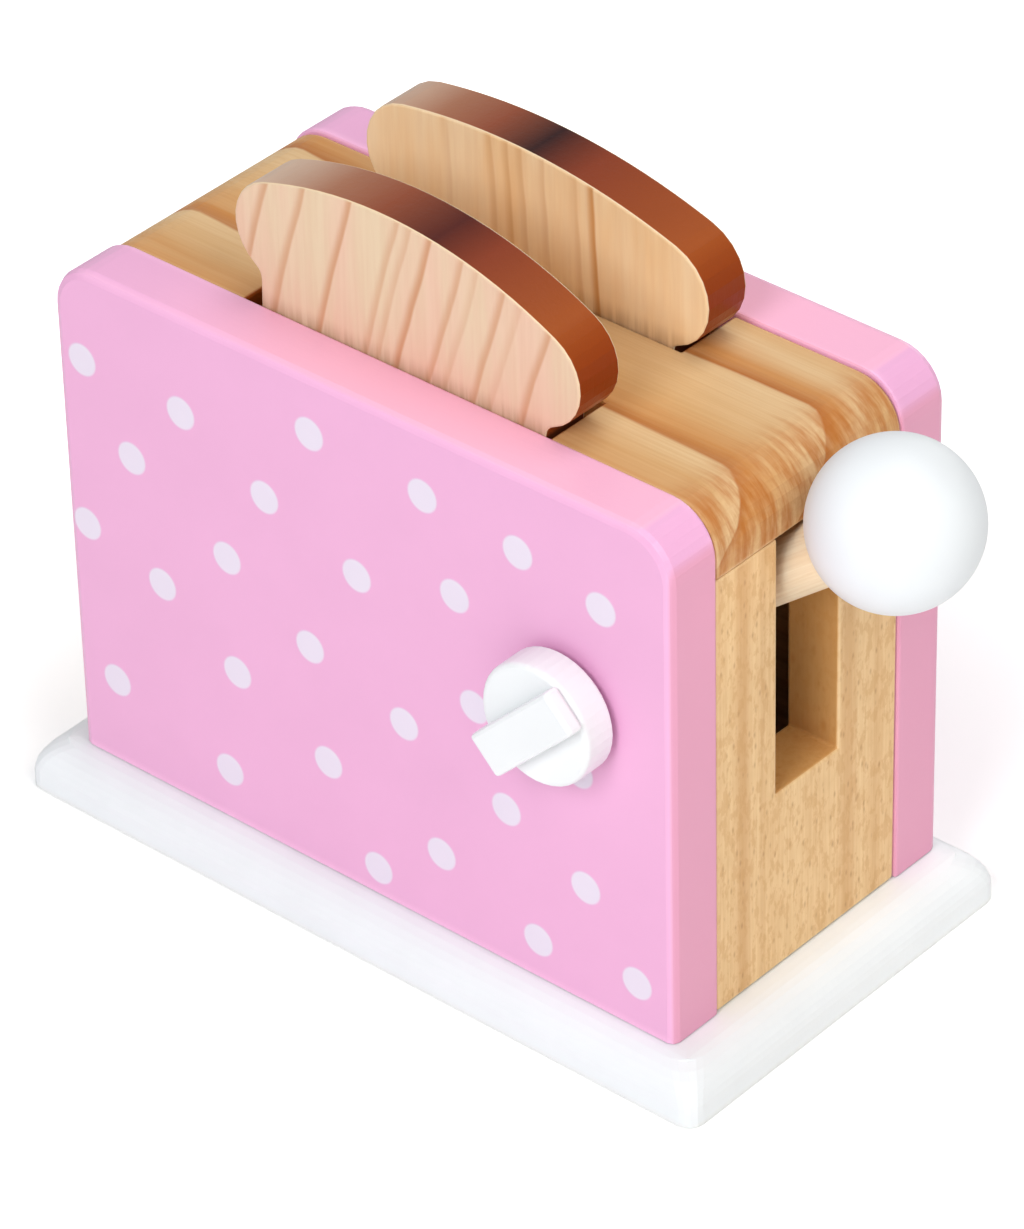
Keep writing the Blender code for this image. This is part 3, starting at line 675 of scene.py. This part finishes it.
print("points in the ball's profile:", len(ball_profile()))

# %% [markdown]
# ## Turning the ball
#
# The profile is spun round the rod's axis, which runs from the lever's pivot
# to the middle of the ball. Its outside is shaded smooth and its socket flat,
# so the sharp rim of the socket stays sharp.

# %% Turned ball
PIVOT = Vector((44.3, 0, 78)) * MM
BALL_TURNS = 96
WELD_DISTANCE = 0.001 * MM
SMOOTH_DEPTH = 0.1 * MM


def turned_ball():
    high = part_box("lever_ball")[1]
    middle = Vector((high[0] - BALL_RADIUS, 0, high[2] - BALL_RADIUS))
    turn = (middle - PIVOT).to_track_quat("Z", "Y").to_matrix().to_4x4()
    shape = bmesh.new()
    points = [shape.verts.new((out, 0, along)) for out, along in ball_profile()]
    lines = [shape.edges.new(pair) for pair in zip(points, points[1:])]
    bmesh.ops.spin(shape, geom=points + lines, axis=(0, 0, 1), cent=(0, 0, 0),
                   angle=math.tau, steps=BALL_TURNS, use_merge=True)
    bmesh.ops.remove_doubles(shape, verts=shape.verts, dist=WELD_DISTANCE)
    bmesh.ops.recalc_face_normals(shape, faces=shape.faces)
    bmesh.ops.transform(shape, matrix=Matrix.Translation(middle) @ turn, verts=shape.verts)
    for face in shape.faces:
        face.smooth = (face.calc_center_median() - middle).length > BALL_RADIUS - SMOOTH_DEPTH
    mesh = bpy.data.meshes.new("turned_ball")
    shape.to_mesh(mesh)
    shape.free()
    mesh.materials.append(BALL_PAINT)
    ball = bpy.data.objects.new("turned_ball", mesh)
    bpy.context.scene.collection.objects.link(ball)
    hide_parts("lever_ball")
    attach(ball, "lever")
    return ball


ball = turned_ball()
print("ball faces:", len(ball.data.polygons))

# %% [markdown]
# ## Growth rings of the cap
#
# The cap is one pine board with wide rings. Seen from above, each ring starts
# with a dark orange line and fades slowly to pale wood towards the back. The
# rings are slanted planes through the board, so the same lines run down over
# its rounded ends. A ramp across the rings gives their colours.

# %% Growth rings
CAP_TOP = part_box("cap_board")[1][2]
RING_SLANT = 1.2
LEVER_SIDE, PLAIN_SIDE = 40 * MM, -70 * MM
FIRST_LINE = (-13 * MM, -8.5 * MM)
RING_WIDTH = (26 * MM, 30.5 * MM)
CAP_SWAY = 1.4 * MM
RINGS_FROM, RINGS_TO = -0.8, 1.6
PALE_PINE = (227, 192, 144)
SOFT_PINE = (216, 172, 118)
ORANGE_PINE = (202, 136, 68)
DARK_PINE = (176, 102, 40)
CAP_RINGS = [(0.0, SOFT_PINE), (0.10, ORANGE_PINE), (0.22, SOFT_PINE), (0.30, PALE_PINE),
             (0.325, PALE_PINE), (0.335, DARK_PINE), (0.38, ORANGE_PINE), (0.50, SOFT_PINE),
             (0.68, PALE_PINE), (0.735, PALE_PINE), (0.745, DARK_PINE), (0.80, ORANGE_PINE),
             (0.92, PALE_PINE), (1.0, SOFT_PINE)]


def ring_place(tree, place):
    """Place across the rings: 0 at the first dark line, 1 at the second."""
    bent = noise(tree, vector_maths(tree, "MULTIPLY", place, (14, 60, 60)), 1)
    sway = remap(tree, bent, NOISE_LOW, NOISE_HIGH, -CAP_SWAY, CAP_SWAY, "LINEAR")
    x, y, z = split(tree, place)
    depth = maths(tree, "SUBTRACT", CAP_TOP, z)
    across = maths(tree, "ADD", maths(tree, "MULTIPLY_ADD", depth, RING_SLANT, y), sway)
    first = remap(tree, x, LEVER_SIDE, PLAIN_SIDE, *FIRST_LINE, "LINEAR")
    width = remap(tree, x, LEVER_SIDE, PLAIN_SIDE, *RING_WIDTH, "LINEAR")
    return maths(tree, "DIVIDE", maths(tree, "SUBTRACT", across, first), width)


print("ring stops:", len(CAP_RINGS))

# %% [markdown]
# ## Pine cap
#
# Two scales of fibres along the board break up its rings. The rounded end at
# the lever is end grain, which takes up more of the clear coat and goes streaky
# and brown. The ends of the toast slots are painted dark brown, a painted shade
# of the deep gap beside each slice. All of it could be one painted picture, but
# masks keep it sharp at any distance.

# %% Pine cap
FIBRE_PINE = (232, 198, 150)
PORE_PINE = (196, 142, 88)
STREAK_PINE = (184, 108, 40)
RUBBED_AND_LIT_PINE = (236, 206, 160)
SLOT_END_SHADE = (150, 72, 18)
SLOT_ENDS = (-40.6 * MM, 38.7 * MM)
STRIP_HALF = 11.5 * MM
# Each pair is where a tint starts and where it is full.
SLOT_END_SHADE_REACH = (0.7 * MM, 0.1 * MM)
STREAK_REACH = (16 * MM, 3 * MM)
CAP_ARRIS = 1.2 * MM


def slot_end_shade_mask(tree, x, y):
    """Painted shade at the ends of each slot, but not on the strip of cap between the two slots."""
    gaps = [maths(tree, "ABSOLUTE", maths(tree, "SUBTRACT", x, end)) for end in SLOT_ENDS]
    from_end = maths(tree, "MINIMUM", *gaps)
    beside_strip = maths(tree, "GREATER_THAN", maths(tree, "ABSOLUTE", y), STRIP_HALF)
    return times(tree, remap(tree, from_end, *SLOT_END_SHADE_REACH), beside_strip)


def pine_cap():
    made, tree, shader, place = new_material("pine_cap_wood", gloss=0.25)
    across = remap(tree, ring_place(tree, place), RINGS_FROM, RINGS_TO, 0.0, 1.0, "LINEAR")
    colour = ramp(tree, across, CAP_RINGS)
    fine = fibres(tree, place, (30, 1500, 1500))
    colour = tint(tree, colour, fibres(tree, place, (9, 260, 260)), FIBRE_PINE, strength=0.34)
    colour = tint(tree, colour, fine, PORE_PINE, strength=0.22)
    x, y, z = split(tree, place)
    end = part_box("cap_board")[1][0]
    near_end = remap(tree, x, end - STREAK_REACH[0], end - STREAK_REACH[1])
    streaks = times(tree, near_end, fibres(tree, place, (60, 480, 90)))
    colour = tint(tree, colour, streaks, STREAK_PINE, strength=0.85)
    # Paler arrises: partly rubbed wear, partly a painted highlight.
    colour = tint(tree, colour, edges(tree, place, "cap_board", CAP_ARRIS), RUBBED_AND_LIT_PINE, strength=0.5)
    # The slot ends are painted dark: painted shade of the gap.
    colour = tint(tree, colour, slot_end_shade_mask(tree, x, y), SLOT_END_SHADE)
    feed(tree, shader.inputs["Base Color"], colour)
    roughen(tree, shader, fine, smooth=0.40, rough=0.52)
    bump(tree, shader, fine, depth=0.02 * MM)
    return made


dress(pine_cap(), "cap_board")
print("cap top at", round(CAP_TOP / MM, 1), "mm")

# %% [markdown]
# ## Lever slot
#
# The slot for the lever is sawn into the end board. Its walls and floor are
# darker than the sanded face: partly the sawn wood, and partly painted shade
# inside the narrow slot. A pale line round its mouth is a painted highlight on
# its arris. Both are found from the slot's own sizes, so no second piece is
# needed.

# %% Lever slot
SLOT_HALF = 9.7 * MM
SLOT_FLOOR = 54.8 * MM
SLOT_TOLERANCE = 0.05 * MM
HIGHLIGHT_WIDTH = 0.8 * MM
HIGHLIGHT_DEPTH = 0.5 * MM
SAWN_SHADED_BEECH = (206, 146, 74)
SLOT_HIGHLIGHT_BEECH = (252, 222, 174)


def slot_finish(tree, colour, place, face):
    """Tint the slot's walls darker, as sawn wood and painted shade, and its rim with a painted
    highlight; face is where the board's outer face lies.
    """
    x, y, z = split(tree, place)
    from_middle = maths(tree, "ABSOLUTE", y)
    above_floor = maths(tree, "GREATER_THAN", z, SLOT_FLOOR - 2 * SLOT_TOLERANCE)
    between_walls = maths(tree, "LESS_THAN", from_middle, SLOT_HALF + SLOT_TOLERANCE)
    # Walls and floor darker: sawn wood and painted shade.
    colour = tint(tree, colour, times(tree, above_floor, between_walls), SAWN_SHADED_BEECH, strength=0.75)
    # A pale line round the mouth: a painted highlight.
    near = remap(tree, from_middle, SLOT_HALF + HIGHLIGHT_WIDTH, SLOT_HALF)
    outside = remap(tree, x, face - HIGHLIGHT_DEPTH, face)
    line = times(tree, times(tree, near, outside), above_floor)
    return tint(tree, colour, line, SLOT_HIGHLIGHT_BEECH, strength=0.8)


print("lever slot is", round(2 * SLOT_HALF / MM, 1), "mm wide")

# %% [markdown]
# ## Beech ends
#
# The end boards are beech with the grain upright. Beech is plain: faint
# bands, soft speckles, and many small brown flecks that are longer along the
# grain. Two sizes of flecks look more natural than one.

# %% Beech boards
BEECH_PALE, BEECH_WARM = (242, 206, 154), (236, 197, 144)
MOTTLE_BEECH = (252, 217, 166)
SPECKLE_BEECH = (208, 154, 92)
SPECKLE_RANGE = (0.45, 0.85)
STRIPE_BEECH = (205, 150, 92)
PORE_BEECH = (214, 164, 108)
FLECK_BEECH = (168, 104, 58)
HIGHLIGHT_BEECH = (246, 216, 170)
BEECH_ARRIS = 1.0 * MM
SMALL_FLECK_STRENGTH = 0.6
# Middle and half width in millimetres, and strength, of each upright band.
BEECH_STRIPES = [(-20.0, 3.5, 0.55), (-14.0, 1.5, 0.25), (13.0, 4.0, 0.45), (22.0, 2.0, 0.3)]


def beech_colour(tree, place, pores, specks):
    bands = fibres(tree, place, (150, 150, 4))
    colour = two_tones(tree, bands, BEECH_PALE, BEECH_WARM)
    colour = tint(tree, colour, fibres(tree, place, (280, 280, 190)), MOTTLE_BEECH, strength=0.45)
    speckled = remap(tree, fibres(tree, place, (620, 620, 300)), *SPECKLE_RANGE)
    colour = tint(tree, colour, speckled, SPECKLE_BEECH, strength=0.35)
    y = split(tree, place)[1]
    for middle, reach, strength in BEECH_STRIPES:
        from_middle = maths(tree, "ABSOLUTE", maths(tree, "SUBTRACT", y, middle * MM))
        stripe = remap(tree, from_middle, reach * MM, 0.0, 0.0, strength)
        colour = tint(tree, colour, stripe, STRIPE_BEECH)
    colour = tint(tree, colour, pores, PORE_BEECH, strength=0.3)
    return tint(tree, colour, specks, FLECK_BEECH, strength=0.85)


def beech_board(name):
    made, tree, shader, place = new_material("beech_" + name, gloss=0.2)
    pores = fibres(tree, place, (1400, 1400, 40))
    large = flecks(tree, place, (380, 380, 190), size=0.46)
    small = flecks(tree, place, (760, 760, 330), size=0.4)
    specks = maths(tree, "MAXIMUM", large, times(tree, small, SMALL_FLECK_STRENGTH))
    colour = beech_colour(tree, place, pores, specks)
    # Paler arrises: a painted highlight.
    colour = tint(tree, colour, edges(tree, place, name, BEECH_ARRIS), HIGHLIGHT_BEECH, strength=0.6)
    if name == "lever_end":
        colour = slot_finish(tree, colour, place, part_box(name)[1][0])
    feed(tree, shader.inputs["Base Color"], colour)
    roughen(tree, shader, pores, smooth=0.42, rough=0.55)
    bump(tree, shader, maths(tree, "SUBTRACT", pores, specks), depth=0.02 * MM)
    return made


for end in ("lever_end", "plain_end"):
    dress(beech_board(end), end)
print("beech boards: lever_end, plain_end")

# %% [markdown]
# ## Turned dowels
#
# The lever is a pale dowel, and its grain runs along it. Fibres that follow
# the toy's own axes would cross it at a slant, so they are drawn in a frame
# that is turned to lie along each dowel. The small dowels in the joints share
# the finish.

# %% Dowels
ROD_TILT = math.radians(38.6)
DOWEL_PALE, DOWEL_WARM = (251, 236, 208), (245, 223, 190)
DOWEL_PORE = (222, 190, 148)
DOWEL_FLECK = (180, 130, 86)


def dowel_wood(name, turn):
    made, tree, shader, place = new_material(name, gloss=0.2)
    leaning = tree.nodes.new("ShaderNodeVectorRotate")
    leaning.rotation_type = "EULER_XYZ"
    leaning.inputs["Rotation"].default_value = turn
    feed(tree, leaning.inputs["Vector"], place)
    along = leaning.outputs[0]
    fine = fibres(tree, along, (60, 1800, 1800))
    colour = two_tones(tree, fibres(tree, along, (12, 420, 420)), DOWEL_PALE, DOWEL_WARM)
    colour = tint(tree, colour, fine, DOWEL_PORE, strength=0.25)
    specks = flecks(tree, along, (160, 700, 700), size=0.3)
    colour = tint(tree, colour, specks, DOWEL_FLECK, strength=0.4)
    feed(tree, shader.inputs["Base Color"], colour)
    roughen(tree, shader, fine, smooth=0.48, rough=0.60)
    bump(tree, shader, fine, depth=0.02 * MM)
    return made


upright = [name for name in NODES if name.startswith("cap_") and "dowel" in name]
across = [name for name in NODES if name.endswith(("dowel_1", "dowel_2"))] + ["lift_bar"]
dress(dowel_wood("beech_dowel_lever", (0, ROD_TILT, 0)), "lever_rod")
dress(dowel_wood("beech_dowel_upright", (0, math.pi / 2, 0)), *upright)
dress(dowel_wood("beech_dowel_across", (0, 0, math.pi / 2)), *across)
print("dowels:", 1 + len(upright) + len(across))

# %% [markdown]
# ## Inner wood
#
# The lift board inside is bare sawn pine. Nobody sands a board that is never
# seen, so it is darker and rougher than the cap, with deeper fibres.

# %% Lift board
INNER_PALE, INNER_DARK = (214, 176, 128), (192, 144, 94)
INNER_PORE = (168, 120, 76)


def inner_pine():
    made, tree, shader, place = new_material("inner_pine_wood", gloss=0.15)
    fine = fibres(tree, place, (60, 1500, 1500))
    colour = two_tones(tree, fibres(tree, place, (8, 180, 180)), INNER_PALE, INNER_DARK)
    colour = tint(tree, colour, fine, INNER_PORE, strength=0.35)
    feed(tree, shader.inputs["Base Color"], colour)
    roughen(tree, shader, fine, smooth=0.58, rough=0.72)
    bump(tree, shader, fine, depth=0.05 * MM)
    return made


dress(inner_pine(), "lift_board")
print("inner wood: lift_board")

# %% [markdown]
# ## Rings in the toast
#
# Each slice of toast is a piece of pine, and its flat faces show narrow rings
# that lean a little from upright. A ring starts sharply on one side and fades
# out on the other, so each is a product of two soft steps, and its place is
# listed for each slice.

# %% Toast rings
RING_HEIGHT = 145 * MM
RING_EDGE, RING_FADE = 0.7, 2.2
RING_WAVES = (40, 40, 25)
RING_SWAY = 0.8 * MM
# Place along the slice in millimetres, and strength, of each ring.
FRONT_RINGS = [(-36.8, 0.8), (-28.3, 0.75), (-16.6, 0.9), (-4.2, 0.55), (-1.0, 0.45),
               (4.3, 1.0), (12.9, 0.7), (17.0, 0.35), (24.2, 0.75), (28.5, 0.3), (36.0, 0.8)]
BACK_RINGS = [(-21.0, 0.2), (-9.0, 0.35), (-4.6, 0.45), (-1.0, 0.4), (4.5, 0.35),
              (12.6, 0.35), (16.8, 1.0)]


def ring_lines(tree, place, rings, lean):
    """Sum of the rings at a point; lean is their slant from upright."""
    wavy = noise(tree, vector_maths(tree, "MULTIPLY", place, RING_WAVES), 1)
    sway = remap(tree, wavy, NOISE_LOW, NOISE_HIGH, -RING_SWAY, RING_SWAY, "LINEAR")
    x, y, z = split(tree, place)
    rise = maths(tree, "SUBTRACT", z, RING_HEIGHT)
    level = maths(tree, "ADD", maths(tree, "MULTIPLY_ADD", rise, -lean, x), sway)
    total = 0.0
    for middle, strength in rings:
        start = remap(tree, level, (middle + RING_EDGE) * MM, middle * MM)
        end = remap(tree, level, (middle - RING_FADE) * MM, middle * MM)
        total = maths(tree, "ADD", total, times(tree, times(tree, start, end), strength))
    return total


print("toast rings:", len(FRONT_RINGS), "front,", len(BACK_RINGS), "back")

# %% [markdown]
# ## Crust
#
# The crust is brown paint round the outline of each slice. A short ramp along
# the slice gives its colour: the paint is reddish brown, and the ramp also holds
# a painted reflection in its gloss, pale at one end and nearly black over the
# crown. Below the cap it is one dark brown, a painted shade inside the slot.

# %% Crust
CRUST_HALF = 48
# The pale, dark and nearly black tones are a painted reflection in the crust's gloss; the rest is its
# brown paint.
PALE_REFLECTION, TAN, BROWN = (214, 184, 160), (166, 110, 82), (141, 72, 46)
DARK_REFLECTION, BLACK_REFLECTION, CHESTNUT = (78, 26, 20), (42, 10, 12), (134, 58, 32)
RED_BROWN, DEEP_RED = (162, 80, 32), (142, 54, 4)
CRUST_MOTTLE = (120, 58, 34)
SHADED_CRUST = (88, 44, 26)
CRUST_SHADE_REACH = (1.0 * MM, 0.6 * MM)
# Place along the slice in millimetres, and colour.
FRONT_CRUST = [(-35, PALE_REFLECTION), (-17, TAN), (-4, BROWN), (10, DARK_REFLECTION), (20, CHESTNUT),
               (39, RED_BROWN), (47, DEEP_RED)]
BACK_CRUST = [(-40, PALE_REFLECTION), (-24, TAN), (-12, BROWN), (0, BLACK_REFLECTION), (12, CHESTNUT),
              (39, RED_BROWN), (46, DEEP_RED)]


def crust_colour(tree, place, crust_and_reflection):
    x, y, z = split(tree, place)
    along = remap(tree, x, -CRUST_HALF * MM, CRUST_HALF * MM, 0.0, 1.0, "LINEAR")
    stops = [(spot / (2 * CRUST_HALF) + 0.5, tone) for spot, tone in crust_and_reflection]
    # The ramp holds the brown paint and a painted reflection: pale at one end, nearly black over the
    # crown.
    colour = ramp(tree, along, stops)
    colour = tint(tree, colour, fibres(tree, place, (120, 120, 120)), CRUST_MOTTLE, strength=0.06)
    # Below the cap the crust is painted dark: painted shade inside the slot.
    shaded_below_cap = remap(tree, z, CAP_TOP + CRUST_SHADE_REACH[0], CAP_TOP - CRUST_SHADE_REACH[1])
    return tint(tree, colour, shaded_below_cap, SHADED_CRUST, strength=0.9)


print("crust stops:", len(FRONT_CRUST), "front,", len(BACK_CRUST), "back")

# %% [markdown]
# ## Slices of toast
#
# Face and crust meet at the arris, where the paint ends in a thin pale line.
# The crust could be a piece of its own, but it is only paint, so one material
# does both: it asks how far a point lies from the slice's two faces, and
# paints the crust between them. The faces are painted darker near the mouth of
# their slot, a painted shade where the cap's edge shades them.

# %% Toast
PORE_STRENGTH, LINE_STRENGTH = 0.12, 0.85
SLOT_SHADE = (140, 98, 56)
SLOT_SHADE_TOP, SLOT_SHADE_FOOT = 5 * MM, 24 * MM
SLOT_SHADE_STRENGTH = 0.4
SLOT_SHADE_BELOW = 0.2
SLOT_SHADE_BETWEEN_PORES = 0.5
RIM_PALE = (240, 216, 180)
RIM_REACH = (0.05 * MM, 0.2 * MM)
CRUST_START = 0.35 * MM
CRUST_BLUR = 0.08 * MM
FRONT_WOOD, FRONT_LINE, FRONT_LEAN = ((232, 208, 175), (236, 200, 174)), (206, 148, 108), 0.29
BACK_WOOD, BACK_LINE, BACK_LEAN = ((252, 226, 186), (247, 210, 160)), (205, 142, 78), -0.07


def slot_shade_mask(tree, place, pores):
    """Painted shade at the mouth of the slot, deeper in the pores: strongest at the cap's top and
    fading both ways.
    """
    z = split(tree, place)[2]
    above = remap(tree, z, CAP_TOP + SLOT_SHADE_TOP, CAP_TOP, 0.0, SLOT_SHADE_STRENGTH)
    below = remap(tree, z, CAP_TOP - SLOT_SHADE_FOOT, CAP_TOP, SLOT_SHADE_BELOW, 1.0)
    in_pores = remap(tree, pores, 0.0, 1.0, SLOT_SHADE_BETWEEN_PORES, 1.0)
    return times(tree, times(tree, above, below), in_pores)


def toast_face(tree, place, pores, wood, line, rings, lean):
    broad = fibres(tree, place, (90, 90, 14))
    face = two_tones(tree, broad, *wood)
    face = tint(tree, face, ring_lines(tree, place, rings, lean), line, strength=LINE_STRENGTH)
    face = tint(tree, face, pores, line, strength=PORE_STRENGTH)
    # Darker near the slot's mouth: painted shade.
    return tint(tree, face, slot_shade_mask(tree, place, pores), SLOT_SHADE)


def toast(name, wood, line, rings, lean, crust_and_reflection):
    made, tree, shader, place = new_material("toast_" + name, gloss=0.12)
    low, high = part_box(name)
    y = split(tree, place)[1]
    from_face = maths(tree, "MINIMUM", maths(tree, "SUBTRACT", y, low[1]),
                      maths(tree, "SUBTRACT", high[1], y))
    pores = fibres(tree, place, (700, 700, 35))
    face = toast_face(tree, place, pores, wood, line, rings, lean)
    face = tint(tree, face, remap(tree, from_face, *RIM_REACH), RIM_PALE)
    baked = remap(tree, from_face, CRUST_START - CRUST_BLUR, CRUST_START + CRUST_BLUR)
    colour = blend(tree, baked, face, crust_colour(tree, place, crust_and_reflection))
    feed(tree, shader.inputs["Base Color"], colour)
    skin = use_group(tree, SKIN, Place=place, Grain_Per_Metre=(600, 600, 40), Sheen=0.34)
    # Sockets 2 and 3 of a Mix node are its two plain values.
    swap = tree.nodes.new("ShaderNodeMix")
    feed(tree, swap.inputs[0], baked)
    feed(tree, swap.inputs[2], remap(tree, pores, 0.0, 1.0, 0.50, 0.62, "LINEAR"))
    feed(tree, swap.inputs[3], skin["Roughness"])
    feed(tree, shader.inputs["Roughness"], swap.outputs[0])
    bump(tree, shader, maths(tree, "ADD", pores, skin["Height"]), depth=0.02 * MM)
    return made


dress(toast("front_toast", FRONT_WOOD, FRONT_LINE, FRONT_RINGS, FRONT_LEAN, FRONT_CRUST),
      "front_toast")
dress(toast("back_toast", BACK_WOOD, BACK_LINE, BACK_RINGS, BACK_LEAN, BACK_CRUST),
      "back_toast")
print("slices: front_toast, back_toast")

# %% [markdown]
# ## Steel
#
# Screws, washers and the pin are zinc plated. Plating is a metal with a fine
# cloudy sheen and short scratches, so only its roughness and bump change.

# %% Zinc plated steel
ZINC_GREY, ZINC_PALE = (196, 198, 200), (214, 214, 210)


def zinc_steel():
    made, tree, shader, place = new_material("zinc_plate", gloss=0.5)
    cloud = fibres(tree, place, (500, 500, 500))
    feed(tree, shader.inputs["Base Color"], two_tones(tree, cloud, ZINC_GREY, ZINC_PALE))
    shader.inputs["Metallic"].default_value = 1.0
    roughen(tree, shader, cloud, smooth=0.28, rough=0.42)
    bump(tree, shader, fibres(tree, place, (300, 4000, 4000)), depth=0.01 * MM)
    return made


steel = [name for name in NODES if "screw" in name] + ["pivot_pin", "knob_spacer", "knob_washer"]
dress(zinc_steel(), *steel)
print("steel pieces:", len(steel))

# %% [markdown]
# ## Floor
#
# The toy stands on white paper. The floor is a large plane just under the
# base. To the camera alone the paper glows a little, and more so away from the
# toy. So it goes over into the white background and still keeps the soft
# shadow.

# %% Floor
FLOOR_REACH = 6.0
FLOOR_DROP = 0.2 * MM
PAPER_WHITE = (254, 254, 254)
GLOW_STARTS, GLOW_FULL = 80 * MM, 200 * MM
GLOW_NEAR, GLOW_FAR = 0.16, 0.6
PAPER_ROUGHNESS = 0.9


def white_paper():
    made, tree, shader, place = new_material("white_paper", gloss=0.1)
    shader.inputs["Base Color"].default_value = on_screen(*PAPER_WHITE)
    shader.inputs["Emission Color"].default_value = (1, 1, 1, 1)
    shader.inputs["Roughness"].default_value = PAPER_ROUGHNESS
    away = vector_maths(tree, "LENGTH", place)
    glow = remap(tree, away, GLOW_STARTS, GLOW_FULL, GLOW_NEAR, GLOW_FAR)
    seen = tree.nodes.new("ShaderNodeLightPath").outputs["Is Camera Ray"]
    feed(tree, shader.inputs["Emission Strength"], times(tree, seen, glow))
    return made


def white_floor():
    shape = bmesh.new()
    bmesh.ops.create_grid(shape, x_segments=1, y_segments=1, size=FLOOR_REACH)
    mesh = bpy.data.meshes.new("floor")
    shape.to_mesh(mesh)
    shape.free()
    mesh.materials.append(white_paper())
    floor = bpy.data.objects.new("floor", mesh)
    bpy.context.scene.collection.objects.link(floor)
    floor.location.z = -FLOOR_DROP
    return floor


floor = white_floor()
print("floor at", round(floor.location.z, 5))
